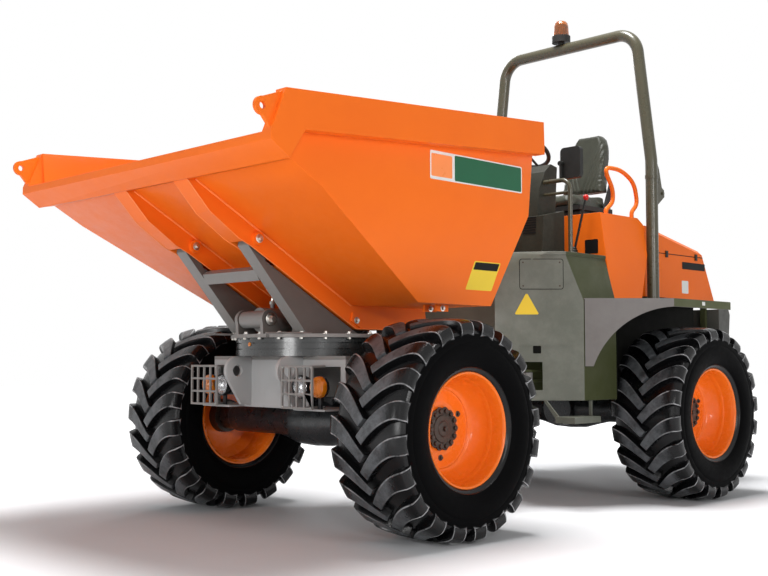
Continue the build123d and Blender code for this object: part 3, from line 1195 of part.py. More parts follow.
def build_cushion():
    """Seat cushion with rounded edges."""
    x = SEAT_X
    half = BACK_HALF_WIDTH
    with BuildPart() as cushion:
        low = SEAT_BASE_Z + 110 + SEAT_GAP
        profile = [(x - 195, low), (x + 215, low), (x + 225, low + 80), (x - 195, low + 100)]
        side_slab(profile, -half, half)
        fillet(cushion.edges().filter_by(Axis.Y), radius=28)
    return cushion.part


def build_backrest():
    """Backrest, leaning back, narrower at its rounded top."""
    x = SEAT_X
    low = SEAT_BASE_Z + 222
    high = SEAT_BASE_Z + 735
    with BuildPart() as back:
        front = [(-BACK_HALF_WIDTH, low), (BACK_HALF_WIDTH, low), (BACK_HALF_WIDTH, high - 230)]
        front += [(BACK_HALF_WIDTH - 40, high), (40 - BACK_HALF_WIDTH, high)]
        front += [(-BACK_HALF_WIDTH, high - 230)]
        cross_slab(front, x - 400, x)
        fillet(back.edges().filter_by(Axis.X).group_by(Axis.Z)[-1], radius=55)
        lean = [(x - 215, low), (x - 120, low), (x - 235, high), (x - 315, high)]
        side_slab(lean, -BACK_HALF_WIDTH, BACK_HALF_WIDTH, Mode.INTERSECT)
    return back.part


def build_handrails():
    """A pair of handrails beside the console, each with a lower cross rail."""
    cowl_side = POD_HALF_WIDTH
    with BuildPart() as rails:
        for side in (-1, 1):
            path = [(RAIL_X, side * RAIL_Y, PLATFORM_Z), (RAIL_X, side * RAIL_Y, RAIL_TOP_Z)]
            path += [(RAIL_X, side * (cowl_side + SEAT_GAP), RAIL_TOP_Z)]
            tube(path, 70, RAIL_TUBE)
            start = (RAIL_X, side * (cowl_side + SEAT_GAP), RAIL_TOP_Z - RAIL_DROP)
            rod(start, (RAIL_X, side * RAIL_Y, RAIL_TOP_Z - RAIL_DROP), RAIL_TUBE - 5)
            rod((RAIL_X, side * RAIL_Y, PLATFORM_Z), (RAIL_X, side * RAIL_Y, PLATFORM_Z + 8), 40)
    return rails.part


def build_mirrors():
    """A pair of mirrors on stems off the handrails."""
    with BuildPart() as mirrors:
        for side in (-1, 1):
            y = side * (RAIL_Y - 10)
            low = MIRROR_Z - MIRROR_HEIGHT / 2
            across = (y - MIRROR_WIDTH / 2, y + MIRROR_WIDTH / 2)
            block((RAIL_X - 52, RAIL_X - 17), across, (low, low + MIRROR_HEIGHT))
        upright = mirrors.edges().filter_by(Axis.X)
        fillet(upright, radius=30)
        for side in (-1, 1):
            stem_y = side * (RAIL_Y - 75)
            stem_foot = RAIL_TOP_Z + RAIL_TUBE + SEAT_GAP
            rod((RAIL_X, stem_y, stem_foot), (RAIL_X, stem_y, MIRROR_Z), 9)
            rod((RAIL_X - 20, stem_y, MIRROR_Z), (RAIL_X + 12, stem_y, MIRROR_Z), 16)
    return mirrors.part


def build_grab_loops():
    """A pair of orange grab loops standing on the outer edges of the side pods."""
    y = POD_TOP_Y - LOOP_TUBE
    foot = POD_TOP_Z + SEAT_GAP
    with BuildPart() as loops:
        for side in (-1, 1):
            path = [(x, side * y, foot + rise) for x, rise in LOOP_PATH]
            tube(path, LOOP_BEND, LOOP_TUBE)
    return loops.part


def build_steps():
    """Hanging steps under the platform's corners, with serrated treads."""
    top = BODY_BOTTOM - SEAT_GAP
    with BuildPart() as steps:
        for side in (-1, 1):
            tread = sorted((side * STEP_INNER_Y, side * STEP_OUTER_Y))
            block((STEP_REAR_X, STEP_FRONT_X), tread, (STEP_Z - 40, STEP_Z))
            hole = sorted((side * (STEP_INNER_Y + 12), side * (STEP_OUTER_Y - 12)))
            across = (STEP_REAR_X + 15, STEP_FRONT_X - 15)
            block(across, hole, (STEP_Z - 45, STEP_Z + 5), Mode.SUBTRACT)
            for share in (0.25, 0.5, 0.75):
                y = STEP_INNER_Y + share * (STEP_OUTER_Y - STEP_INNER_Y)
                bar = sorted((side * (y - 5), side * (y + 5)))
                block((STEP_REAR_X + 10, STEP_FRONT_X - 10), bar, (STEP_Z - 25, STEP_Z))
            strap = [(side * STEP_INNER_Y, STEP_Z - 25), (side * (STEP_INNER_Y + 18), STEP_Z)]
            strap += [(side * (STEP_INNER_Y - 78), top), (side * (STEP_INNER_Y - 102), top)]
            cross_slab(strap, STEP_FRONT_X - 22, STEP_FRONT_X - 10)
            hanger = sorted((side * (SIDE_Y - 18), side * (SIDE_Y + 4)))
            block((STEP_REAR_X + 10, STEP_REAR_X + 22), hanger, (STEP_Z - 25, top))
    return steps.part


def build_controls():
    """Lever beside the left side pod and the two pedals."""
    with BuildPart() as controls:
        foot = (LEVER_X, LEVER_FOOT_Y, PLATFORM_Z)
        rod(foot, (LEVER_X, LEVER_FOOT_Y, PLATFORM_Z + 40), 16)
        top = (LEVER_X, LEVER_TOP_Y, LEVER_TOP_Z)
        rod((LEVER_X, LEVER_FOOT_Y, PLATFORM_Z + 20), top, 8)
        with Locations(top):
            Sphere(18)
        stalk = PEDAL_X
        for y in (-PEDAL_Y, PEDAL_Y):
            rod((stalk, y, PLATFORM_Z), (stalk, y, PLATFORM_Z + 100), 10)
            pad = [(stalk + 15, PLATFORM_Z + 95), (stalk - 80, PLATFORM_Z + 60)]
            pad += [(stalk - 84, PLATFORM_Z + 70), (stalk + 11, PLATFORM_Z + 107)]
            side_slab(pad, y - PEDAL_HALF_WIDTH, y + PEDAL_HALF_WIDTH)
    return controls.part


# ---------------------------------------------------------------- roll bar
def build_rops_legs():
    """Fixed lower legs of the roll bar with feet on the mudguards and hinge cheeks."""
    foot = GUARD_TOP_Z + SEAT_GAP
    with BuildPart() as legs:
        for side in (-1, 1):
            y = side * ROPS_Y
            rod((ROPS_X, y, foot), (ROPS_X, y, ROPS_SPLIT_Z - SEAT_GAP), ROPS_TUBE)
            half = ROPS_FOOT / 2
            block((ROPS_X - half, ROPS_X + half), (y - half, y + half), (foot, foot + 18))
            for low in (y - FOLD_LUG / 2 - 1 - FOLD_PLATE, y + FOLD_LUG / 2 + 1):
                cheek = [(ROPS_X - 25, FOLD_PIVOT_Z + 70), (FOLD_X - 20, FOLD_PIVOT_Z + 24)]
                cheek += [(FOLD_X - 24, FOLD_PIVOT_Z - 24), (ROPS_X - 25, FOLD_PIVOT_Z - 90)]
                side_slab(cheek, low, low + FOLD_PLATE)
            pin = FOLD_LUG / 2 + FOLD_PLATE + 9
            rod((FOLD_X, y - pin, FOLD_PIVOT_Z), (FOLD_X, y + pin, FOLD_PIVOT_Z), FOLD_PIN_RADIUS)
    return legs.part


def build_rops_hoop():
    """Folding roll-over hoop with its two hinge lugs."""
    bottom = ROPS_SPLIT_Z
    with BuildPart() as hoop:
        path = [(ROPS_X, -ROPS_Y, bottom), (ROPS_X, -ROPS_Y, bottom + 120)]
        path += [(ROPS_X, -ROPS_TOP_Y, ROPS_TOP_Z), (ROPS_X, ROPS_TOP_Y, ROPS_TOP_Z)]
        path += [(ROPS_X, ROPS_Y, bottom + 120), (ROPS_X, ROPS_Y, bottom)]
        tube(path, ROPS_BEND, ROPS_TUBE)
        for side in (-1, 1):
            y = side * ROPS_Y
            lug = [(ROPS_X - 20, bottom + 150), (ROPS_X - 20, bottom + 12)]
            lug += [(ROPS_X - ROPS_TUBE - 6, bottom), (FOLD_X + 22, FOLD_PIVOT_Z - 4)]
            lug += [(FOLD_X - 22, FOLD_PIVOT_Z + 6), (ROPS_X - 70, bottom + 60)]
            side_slab(lug, y - FOLD_LUG / 2, y + FOLD_LUG / 2)
            low = (FOLD_X, y - FOLD_LUG / 2, FOLD_PIVOT_Z)
            high = (FOLD_X, y + FOLD_LUG / 2, FOLD_PIVOT_Z)
            rod(low, high, 24)
            rod(low, high, FOLD_PIN_RADIUS + RUNNING_FIT, Mode.SUBTRACT)
    return hoop.part


def build_beacon_base():
    """Foot of the warning beacon on the hoop's top bar."""
    low = ROPS_TOP_Z + ROPS_TUBE - 12
    with BuildPart() as base:
        rod((ROPS_X, BEACON_Y, low), (ROPS_X, BEACON_Y, low + 24), 24)
        rod((ROPS_X, BEACON_Y, low + 24), (ROPS_X, BEACON_Y, low + 74), BEACON_BASE_RADIUS)
        tube_end = (ROPS_X, BEACON_Y + 100, ROPS_TOP_Z)
        seat = ROPS_TUBE + SEAT_GAP
        rod((ROPS_X, BEACON_Y - 100, ROPS_TOP_Z), tube_end, seat, Mode.SUBTRACT)
    return base.part


def build_beacon_lens():
    """Amber dome of the beacon."""
    low = ROPS_TOP_Z + ROPS_TUBE + 62
    with BuildPart() as lens:
        rod((ROPS_X, BEACON_Y, low), (ROPS_X, BEACON_Y, low + 122), BEACON_RADIUS)
        top = lens.edges().group_by(Axis.Z)[-1]
        chamfer(top, length=20, length2=34)
    return lens.part


# ---------------------------------------------------------------- the machine
pieces = {
    "front_frame": build_front_frame(),
    "front_plate": build_front_plate(),
    "front_axle": build_axle(FRONT_AXLE_X, SPINE_HALF_WIDTH - 45),
    "slew_ring": build_slew_ring(),
    "lamp_guards": build_lamp_guards(),
    "headlamps": build_lamps(HEADLAMP_Y, HEADLAMP_RADIUS),
    "indicators": build_lamps(INDICATOR_Y, INDICATOR_RADIUS),
    "tower": build_tower(),
    "tip_barrel": build_ram_barrel(),
    "tip_rod": build_ram_rod(),
    "skip_tub": build_tub(),
    "skip_ribs": build_ribs(),
    "rear_frame": build_rear_frame(),
    "rear_axle": build_axle(REAR_AXLE_X, SPINE_HALF_WIDTH + 40),
    "platform": build_platform(),
    "mudguards": build_mudguards(),
    "side_pods": build_side_pods(),
    "seat_pedestal": build_pedestal(),
    "engine_housing": build_housing(),
    "engine_lid": build_lid(),
    "rear_grille": build_rear_grille(),
    "counterweight": build_counterweight(),
    "engine_block": build_engine(),
    "console": build_console(),
    "steering_wheel": build_steering_wheel(),
    "seat_frame": build_seat_frame(),
    "seat_cushion": build_cushion(),
    "seat_back": build_backrest(),
    "handrails": build_handrails(),
    "mirrors": build_mirrors(),
    "grab_loops": build_grab_loops(),
    "steps": build_steps(),
    "controls": build_controls(),
    "rops_legs": build_rops_legs(),
    "rops_hoop": build_rops_hoop(),
    "beacon_base": build_beacon_base(),
    "beacon_lens": build_beacon_lens(),
}
for side_name, side in (("left", 1), ("right", -1)):
    pieces[f"steer_barrel_{side_name}"] = build_steer_barrel(side)
    pieces[f"steer_rod_{side_name}"] = build_steer_rod(side)
    for axle_name, axle_x in (("front", FRONT_AXLE_X), ("rear", REAR_AXLE_X)):
        pieces[f"tyre_{axle_name}_{side_name}"] = build_tyre(axle_x, side)
        pieces[f"rim_{axle_name}_{side_name}"] = build_rim(axle_x, side)
        pieces[f"hub_{axle_name}_{side_name}"] = build_hub(axle_x, side)

os.makedirs("parts", exist_ok=True)
for name, piece in pieces.items():
    placed = piece.moved(Location((-CENTRE_X, 0, 0)))
    placed.label = name
    export_step(placed, f"parts/{name}.step")
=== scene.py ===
"""Looks of the site dumper: finishes for its solids and the detailed pieces around them.

Sizes are in millimetres along X from the articulation pin, along Y to the machine's left and
along Z from the ground. Shell.place turns them into the frame's metres.
"""

import json
import logging
import math
from collections.abc import Callable
from dataclasses import dataclass
from enum import Enum

import bmesh
import bpy
import numpy as np
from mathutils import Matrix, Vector


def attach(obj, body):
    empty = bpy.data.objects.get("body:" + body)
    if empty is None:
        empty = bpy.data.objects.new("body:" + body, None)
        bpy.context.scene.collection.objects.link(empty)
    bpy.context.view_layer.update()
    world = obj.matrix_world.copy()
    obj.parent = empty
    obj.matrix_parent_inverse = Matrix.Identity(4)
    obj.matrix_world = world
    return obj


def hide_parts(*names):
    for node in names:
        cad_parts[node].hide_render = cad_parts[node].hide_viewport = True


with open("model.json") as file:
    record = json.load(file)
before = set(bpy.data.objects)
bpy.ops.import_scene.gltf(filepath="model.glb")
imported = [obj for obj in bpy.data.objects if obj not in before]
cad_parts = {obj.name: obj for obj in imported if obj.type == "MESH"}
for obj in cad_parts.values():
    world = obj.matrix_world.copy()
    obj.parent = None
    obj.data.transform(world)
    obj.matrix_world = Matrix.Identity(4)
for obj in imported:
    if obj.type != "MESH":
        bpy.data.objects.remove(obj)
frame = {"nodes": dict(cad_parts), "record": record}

Point = tuple[float, float, float]
Pair = tuple[float, float]
Outline = list[Pair]
Face = tuple[Point, Point]
Colour = tuple[float, float, float]
Material = bpy.types.Material
Mesh = bpy.types.Mesh
Piece = bpy.types.Object
Socket = bpy.types.NodeSocket
FaceTest = Callable[[Vector, Vector], bool]

LOG = logging.getLogger("dumper")
CENTRE_X = 75.0             # the frame's origin, ahead of the articulation pin
MILLI = 0.001
FULL_TURN = 2.0 * math.pi
SAME_POINT = 0.00001        # metres within which points are one
AXLE_X = 1256.5             # from the articulation pin to either axle
TIP_PIN = (2000, 1583)      # X and Z of the tipping pins
SIDE = (0, 1, 0)
AHEAD = (1, 0, 0)
BACK = (-1, 0, 0)
UP = (0, 0, 1)
DIAGONAL = 0.70711
# A flat face: the direction of a plate's width, then of its height.
LEFT_FACE = ((-1.0, 0.0, 0.0), (0.0, 0.0, 1.0))
FRONT_FACE = ((0.0, 1.0, 0.0), (0.0, 0.0, 1.0))
REAR_FACE = ((0.0, -1.0, 0.0), (0.0, 0.0, 1.0))
CORNER_FACE = ((-DIAGONAL, DIAGONAL, 0.0), (0.0, 0.0, 1.0))
SKIP_FACE = ((-1.0, 0.0, 0.0), (0.0, 0.42, 0.9075))


class Along(Enum):
    """The three directions that an outline is carried along."""

    X = 0
    Y = 1
    Z = 2


# ---------------------------------------------------------------- meshes
@dataclass
class Shell:
    """Points in machine millimetres and the faces between them."""

    points: np.ndarray
    faces: list[list[int]]

    def moved(self, offset: Point) -> "Shell":
        """A copy moved by an offset."""
        return Shell(self.points + np.array(offset, float), self.faces)

    def mirrored(self) -> "Shell":
        """A copy reflected to the machine's other side, its faces turned to match."""
        turned_faces = [face[::-1] for face in self.faces]
        return Shell(self.points * np.array([1.0, -1.0, 1.0]), turned_faces)

    def both_sides(self) -> "Shell":
        """This shell and its reflection."""
        return join([self, self.mirrored()])

    def place(self, name: str, finish: Material, body: str, sharp: float = 30.0,
              marks: dict[str, np.ndarray] | None = None) -> Piece:
        """Make the object and let it ride on a body.

        Args:
            name: The piece's name.
            finish: Its material.
            body: The body that carries it.
            sharp: Angle in degrees past which an edge stays sharp.
            marks: Values stored on the points for the finish, by attribute name.

        Returns:
            The new object, at the origin, its place in its mesh.
        """
        mesh = bpy.data.meshes.new(name)
        metres = (self.points - np.array([CENTRE_X, 0.0, 0.0])) * MILLI
        mesh.from_pydata(metres.tolist(), [], self.faces)
        for key, values in (marks or {}).items():
            mark = mesh.attributes.new(key, "FLOAT", "POINT")
            mark.data.foreach_set("value", values.astype(np.float32))
        mesh.validate()
        work = bmesh.new()
        work.from_mesh(mesh)
        bmesh.ops.remove_doubles(work, verts=work.verts, dist=SAME_POINT)
        bmesh.ops.recalc_face_normals(work, faces=work.faces)
        work.to_mesh(mesh)
        work.free()
        piece = show(name, mesh)
        mesh.materials.append(finish)
        shade(mesh, sharp)
        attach(piece, body)
        LOG.info("%s: %d faces on %s", name, len(mesh.polygons), body)
        return piece


def show(name: str, data: bpy.types.ID) -> Piece:
    """Put a mesh, lamp or camera in the scene under a name."""
    item = bpy.data.objects.new(name, data)
    bpy.context.scene.collection.objects.link(item)
    return item


def shade(mesh: Mesh, sharp: float) -> None:
    """Smooth a mesh, with its edges past an angle in degrees kept sharp."""
    mesh.polygons.foreach_set("use_smooth", np.ones(len(mesh.polygons), bool))
    mesh.set_sharp_from_angle(angle=math.radians(sharp))


def join(shells: list[Shell]) -> Shell:
    """Several shells as one."""
    faces: list[list[int]] = []
    start = 0
    for shell in shells:
        faces += [[start + index for index in face] for face in shell.faces]
        start += len(shell.points)
    return Shell(np.concatenate([shell.points for shell in shells]), faces)


def turns(count: int, start: float = 0.0) -> np.ndarray:
    """Angles evenly round a full turn: start + index * full turn / count."""
    return start + np.arange(count) * FULL_TURN / count


def grid_faces(rows: int, columns: int, wrap_rows: bool, wrap_columns: bool) -> list[list[int]]:
    """Faces of a grid of points: each joins a point to its next along both parameters."""
    row = np.arange(rows if wrap_rows else rows - 1)
    column = np.arange(columns if wrap_columns else columns - 1)
    r, c = np.meshgrid(row, column, indexing="ij")
    r2, c2 = (r + 1) % rows, (c + 1) % columns
    corners = [r * columns + c, r2 * columns + c, r2 * columns + c2, r * columns + c2]
    return np.stack([corner.ravel() for corner in corners], axis=1).tolist()


def end_faces(rows: int, columns: int) -> list[list[int]]:
    """The two faces that close a grid of points at its first and last row."""
    count = rows * columns
    return [list(range(columns)), list(range(count - columns, count))]


def basis(axis: np.ndarray) -> tuple[np.ndarray, np.ndarray]:
    """Two unit vectors square to an axis and to each other."""
    upright = 0.9
    helper = np.array([0.0, 0.0, 1.0]) if abs(axis[2]) < upright else np.array([1.0, 0.0, 0.0])
    first = np.cross(helper, axis)
    first /= np.linalg.norm(first)
    return first, np.cross(axis, first)


def turned(profile: Outline, centre: Point, axis: Point, segments: int = 48,
           closed: bool = False) -> Shell:
    """Carry a profile round an axis: point = centre + along * axis + radius * (cos a, sin a).

    Args:
        profile: Pairs of distance along the axis and radius.
        centre: Where the distance along the axis is 0.
        axis: The axis's direction.
        segments: Steps in a full turn.
        closed: Whether the profile's last point joins its first.

    Returns:
        The shell; an end at radius 0 closes itself.
    """
    direction = np.array(axis, float)
    direction /= np.linalg.norm(direction)
    first, second = basis(direction)
    along, radius = np.array(profile, float).T
    angle = turns(segments)
    ring = np.cos(angle)[:, None] * first + np.sin(angle)[:, None] * second
    points = (np.array(centre, float) + along[None, :, None] * direction
              + radius[None, :, None] * ring[:, None, :])
    return Shell(points.reshape(-1, 3), grid_faces(segments, len(profile), True, closed))


def pipe(path: np.ndarray, radius: float, sides: int = 8) -> Shell:
    """Carry a circle along an open path: each ring is square to it, turned as little as can be.

    Args:
        path: The centre line's points, one a row.
        radius: The pipe's radius.
        sides: Points in the circle.

    Returns:
        The pipe, with flat ends.
    """
    path = np.asarray(path, float)
    ahead = np.roll(path, -1, 0) - np.roll(path, 1, 0)
    ahead[0], ahead[-1] = path[1] - path[0], path[-1] - path[-2]
    ahead /= np.linalg.norm(ahead, axis=1)[:, None]
    side = np.empty_like(ahead)
    side[0] = basis(ahead[0])[0]
    for step in range(1, len(path)):
        carried = side[step - 1] - ahead[step] * np.dot(side[step - 1], ahead[step])
        side[step] = carried / np.linalg.norm(carried)
    third = np.cross(ahead, side)
    angle = turns(sides)
    ring = (np.cos(angle)[None, :, None] * side[:, None, :]
            + np.sin(angle)[None, :, None] * third[:, None, :])
    points = (path[:, None, :] + radius * ring).reshape(-1, 3)
    faces = grid_faces(len(path), sides, False, True) + end_faces(len(path), sides)
    return Shell(points, faces)


def rounded(corners: list[Point], bend: float, steps: int) -> np.ndarray:
    """Points along straight runs whose corners are rounded by parabolas that start a bend away."""
    most = 0.48             # of a run that one bend may take
    corner = np.array(corners, float)
    points = [corner[0]]
    for before, here, after in zip(corner[:-2], corner[1:-1], corner[2:]):
        back, on = before - here, after - here
        reach = min(bend, most * np.linalg.norm(back), most * np.linalg.norm(on))
        start = here + back / np.linalg.norm(back) * reach
        end = here + on / np.linalg.norm(on) * reach
        t = np.linspace(0.0, 1.0, steps)[:, None]
        points += list((1 - t) ** 2 * start + 2 * t * (1 - t) * here + t ** 2 * end)
    points.append(corner[-1])
    return np.array(points)


def prism(outline: Outline, along: Along, low: float, high: float) -> Shell:
    """Carry a flat outline along an axis from low to high, and close both ends.

    Args:
        outline: Pairs in the two other directions, in the order X, Y, Z.
        along: The direction it is carried in.
        low: Where it starts.
        high: Where it ends.

    Returns:
        The closed shell.
    """
    flat = np.array(outline, float)
    count = len(flat)
    ends = [np.insert(flat, along.value, level, axis=1) for level in (low, high)]
    ring = np.arange(count)
    after = (ring + 1) % count
    sides = np.stack([ring, after, after + count, ring + count], axis=1).tolist()
    return Shell(np.concatenate(ends), end_faces(2, count) + sides)


def box(x: Pair, y: Pair, z: Pair) -> Shell:
    """A block between low and high sides."""
    return prism([(x[0], y[0]), (x[1], y[0]), (x[1], y[1]), (x[0], y[1])], Along.Z, z[0], z[1])


def panel(origin: Point, face: Face, outline: Outline, depth: float) -> Shell:
    """A plate on any plane: point = origin + u * across + v * up + w * depth * normal.

    Args:
        origin: The plane's zero point.
        face: Directions of the outline's first and second number, across and up.
        outline: The plate's edge.
        depth: Thickness along across x up.

    Returns:
        The closed plate.
    """
    first, second = np.array(face[0], float), np.array(face[1], float)
    first /= np.linalg.norm(first)
    second /= np.linalg.norm(second)
    flat = prism(outline, Along.Z, 0.0, depth)
    plane = np.stack([first, second, np.cross(first, second)])
    return Shell(flat.points @ plane + np.array(origin, float), flat.faces)


def round_rect(width: float, height: float, radius: float) -> Outline:
    """Edge of a rectangle about 0, its corners quarter circles of five points."""
    quarter_turn = math.pi / 2
    points = []
    for quarter, (sx, sy) in enumerate(((1, 1), (-1, 1), (-1, -1), (1, -1))):
        for turn in np.linspace(0, quarter_turn, 5) + quarter * quarter_turn:
            points.append((sx * (width / 2 - radius) + radius * math.cos(turn),
                           sy * (height / 2 - radius) + radius * math.sin(turn)))
    return points


def screw(centre: Point, axis: Point, size: float, washer: float = 1.0) -> Shell:
    """A hexagon head on its washer, standing on a face.

    Args:
        centre: Middle of the seat on the face.
        axis: Direction out of the face.
        size: Width across the flats.
        washer: Washer's size as a share of the usual one; 0 leaves it out.

    Returns:
        The joined head and washer.
    """
    corner = size / math.cos(math.pi / 6) / 2
    height = 0.62 * size
    lift = 0.14 * size if washer else 0.0
    head = turned([(lift, 0), (lift, corner), (height * 0.86 + lift, corner),
                   (height + lift, corner * 0.84), (height + lift, 0)], centre, axis, 6)
    if not washer:
        return head
    rim = size * 0.98 * washer
    plate = turned([(-1, 0), (-1, rim), (lift * 0.8, rim), (lift, rim * 0.94), (lift, 0)],
                   centre, axis, 20)
    return join([head, plate])


def screw_ring(centre: Point, axis: Point, radius: float, count: int, size: float,
               start: float = 0.0) -> Shell:
    """Hexagon heads evenly round an axis."""
    direction = np.array(axis, float)
    first, second = basis(direction / np.linalg.norm(direction))
    spots = [np.array(centre, float) + radius * (math.cos(t) * first + math.sin(t) * second)
             for t in turns(count, start)]
    return join([screw(tuple(spot), axis, size) for spot in spots])


# ---------------------------------------------------------------- finishes
class Graph:
    """A node tree, with one short call for each kind of node that is shared."""

    def __init__(self, tree: bpy.types.NodeTree) -> None:
        """Keep the tree."""
        self.tree = tree

    def add(self, kind: str, **settings: object) -> bpy.types.Node:
        """Add a node and set its properties."""
        node = self.tree.nodes.new(kind)
        for key, value in settings.items():
            setattr(node, key, value)
        return node

    def link(self, source: Socket, target: Socket) -> None:
        """Join two sockets."""
        self.tree.links.new(source, target)

    def combine(self, operation: str, one: Socket, two: Socket) -> Socket:
        """Two values through a math node, such as MULTIPLY or MAXIMUM."""
        node = self.add("ShaderNodeMath", operation=operation)
        self.link(one, node.inputs[0])
        self.link(two, node.inputs[1])
        return node.outputs[0]

    def seen(self) -> Socket:
        """1 on rays from the camera, in reflections and through glass, 0 on all others."""
        path = self.add("ShaderNodeLightPath")
        share = path.outputs["Is Camera Ray"]
        for key in ("Is Glossy Ray", "Is Transmission Ray"):
            share = self.combine("MAXIMUM", share, path.outputs[key])
        return share


class Nodes(Graph):
    """A material's node tree."""

    def __init__(self, name: str) -> None:
        """Start a material with a shader and object coordinates."""
        self.material = bpy.data.materials.new(name)
        self.material.use_nodes = True
        super().__init__(self.material.node_tree)
        self.shader = self.tree.nodes["Principled BSDF"]
        self.place = self.add("ShaderNodeTexCoord").outputs["Object"]

    def set(self, **values: float) -> None:
        """Put plain values on the shader's own sockets; underscores stand for spaces."""
        for key, value in values.items():
            self.shader.inputs[key.replace("_", " ")].default_value = value

    def stretched(self, scale: Point) -> Socket:
        """Object coordinates with their axes scaled."""
        node = self.add("ShaderNodeMapping")
        node.inputs["Scale"].default_value = scale
        self.link(self.place, node.inputs["Vector"])
        return node.outputs["Vector"]

    def noise(self, scale: float, detail: float, rough: float = 0.55,
              at: Socket | None = None) -> Socket:
        """Cloudy noise from 0 to 1."""
        node = self.add("ShaderNodeTexNoise")
        for key, value in (("Scale", scale), ("Detail", detail), ("Roughness", rough)):
            node.inputs[key].default_value = value
        self.link(at or self.place, node.inputs["Vector"])
        return node.outputs["Fac"]

    def cells(self, scale: float) -> Socket:
        """Distance to the nearest cell centre."""
        node = self.add("ShaderNodeTexVoronoi")
        node.inputs["Scale"].default_value = scale
        self.link(self.place, node.inputs["Vector"])
        return node.outputs["Distance"]

    def span(self, source: Socket, limits: Pair, ends: Pair = (0.0, 1.0)) -> Socket:
        """A value moved from between its limits to between two ends, and held there."""
        node = self.add("ShaderNodeMapRange")
        for key, value in zip(("From Min", "From Max", "To Min", "To Max"), (*limits, *ends)):
            node.inputs[key].default_value = value
        self.link(source, node.inputs["Value"])
        return node.outputs["Result"]

    def cloud(self, scale: float, detail: float, rough: float, limits: Pair,
              ends: Pair = (0.0, 1.0)) -> Socket:
        """Noise moved from between its limits to between two ends."""
        return self.span(self.noise(scale, detail, rough), limits, ends)

    def mix(self, share: Socket, one: Socket | Colour, two: Socket | Colour) -> Socket:
        """Colour between two colours or sockets by a share."""
        node = self.add("ShaderNodeMix", data_type="RGBA")
        self.link(share, node.inputs["Factor"])
        for value, socket in ((one, node.inputs[6]), (two, node.inputs[7])):
            if isinstance(value, Socket):
                self.link(value, socket)
            else:
                socket.default_value = (*value, 1.0)
        return node.outputs[2]

    def finish(self, colour: Socket, gloss: Socket, relief: Socket | None = None,
               strength: float = 0.0, distance: float = 0.0) -> None:
        """Feed the shader.

        Args:
            colour: Its base colour.
            gloss: Its roughness.
            relief: The height behind its bump, if it has one.
            strength: The bump's strength.
            distance: The bump's depth in metres.
        """
        self.link(colour, self.shader.inputs["Base Color"])
        self.link(gloss, self.shader.inputs["Roughness"])
        if relief is not None:
            node = self.add("ShaderNodeBump")
            node.inputs["Strength"].default_value = strength
            node.inputs["Distance"].default_value = distance
            self.link(relief, node.inputs["Height"])
            self.link(node.outputs["Normal"], self.shader.inputs["Normal"])


@dataclass(frozen=True)
class Paint:
    """Sprayed machine paint: slow tint changes, orange peel and, where it is used, smudges."""

    name: str
    body: Colour
    shade: Colour
    rough: float = 0.36
    dust: float = 0.0
    coat: float = 0.05
    sheen: float = 0.25

    def make(self) -> Material:
        """Build the material; a smudge is the paint's colour under a share of pale dust."""
        dirt, paint_share = (0.42, 0.41, 0.36), 0.62
        nodes = Nodes(self.name)
        tint = nodes.mix(nodes.cloud(1.7, 5, 0.6, (0.3, 0.7)), self.body, self.shade)
        smudge = tuple(paint_share * c + (1 - paint_share) * d for c, d in zip(self.body, dirt))
        patch = nodes.cloud(5, 9, 0.72, (0.42, 0.72), (0, self.dust))
        gloss = nodes.cloud(14, 8, 0.7, (0.3, 0.75), (self.rough - 0.06, self.rough + 0.12))
        nodes.finish(nodes.mix(patch, tint, smudge), gloss, nodes.noise(420, 2, 0.5), 0.10, 0.0006)
        nodes.set(Coat_Weight=self.coat, Coat_Roughness=0.12, Specular_IOR_Level=self.sheen)
        return nodes.material


@dataclass(frozen=True)
class Rubber:
    """Dressed tyre rubber: near black, glossy at the shoulders, duller grey on worn lug tops, pale
    painted highlight lines along the lugs' rims.
    """

    name: str
    body: Colour = (0.0045, 0.0045, 0.005)
    worn: Colour = (0.105, 0.111, 0.118)
    # Pale colour along the lugs' rims: painted highlight.
    line: Colour = (0.42, 0.42, 0.43)
    sheen: float = 0.24
    gloss: Pair = (0.13, 0.30)

    def make(self) -> Material:
        """Build the material; wear is 1 on the lugs' tops, edge is 1 along their rims, where pale
        lines are painted as highlights.
        """
        nodes = Nodes(self.name)
        wear, edge = (nodes.add("ShaderNodeAttribute", attribute_name=name).outputs["Fac"]
                      for name in ("wear", "edge"))
        patch = nodes.cloud(13, 8, 0.75, (0.36, 0.58), (0.3, 1))
        tint = nodes.mix(nodes.combine("MULTIPLY", wear, patch), self.body, self.worn)
        broken = nodes.cloud(9, 5, 0.7, (0.38, 0.58))
        # Painted highlight: pale lines along the lugs' rims, broken up by noise.
        colour = nodes.mix(nodes.combine("MULTIPLY", edge, broken), tint, self.line)
        dull = nodes.span(wear, (0, 1), (1, 1.8))
        gloss = nodes.combine("MULTIPLY", dull, nodes.cloud(30, 6, 0.7, (0.3, 0.7), self.gloss))
        nodes.finish(colour, gloss, nodes.noise(210, 6, 0.7), 0.3, 0.0014)
        nodes.set(Specular_IOR_Level=self.sheen)
        return nodes.material


@dataclass(frozen=True)
class Casting:
    """Painted iron casting: grain from the sand mould under thin dark paint."""

    name: str
    body: Colour
    fleck: Colour
    rough: float = 0.42

    def make(self) -> Material:
        """Build the material."""
        nodes = Nodes(self.name)
        colour = nodes.mix(nodes.cloud(120, 6, 0.75, (0.48, 0.66)), self.body, self.fleck)
        gloss = nodes.cloud(22, 6, 0.7, (0.3, 0.7), (self.rough - 0.1, self.rough + 0.15))
        nodes.finish(colour, gloss, nodes.noise(190, 7, 0.7), 0.4, 0.0015)
        nodes.set(Specular_IOR_Level=0.5)
        return nodes.material


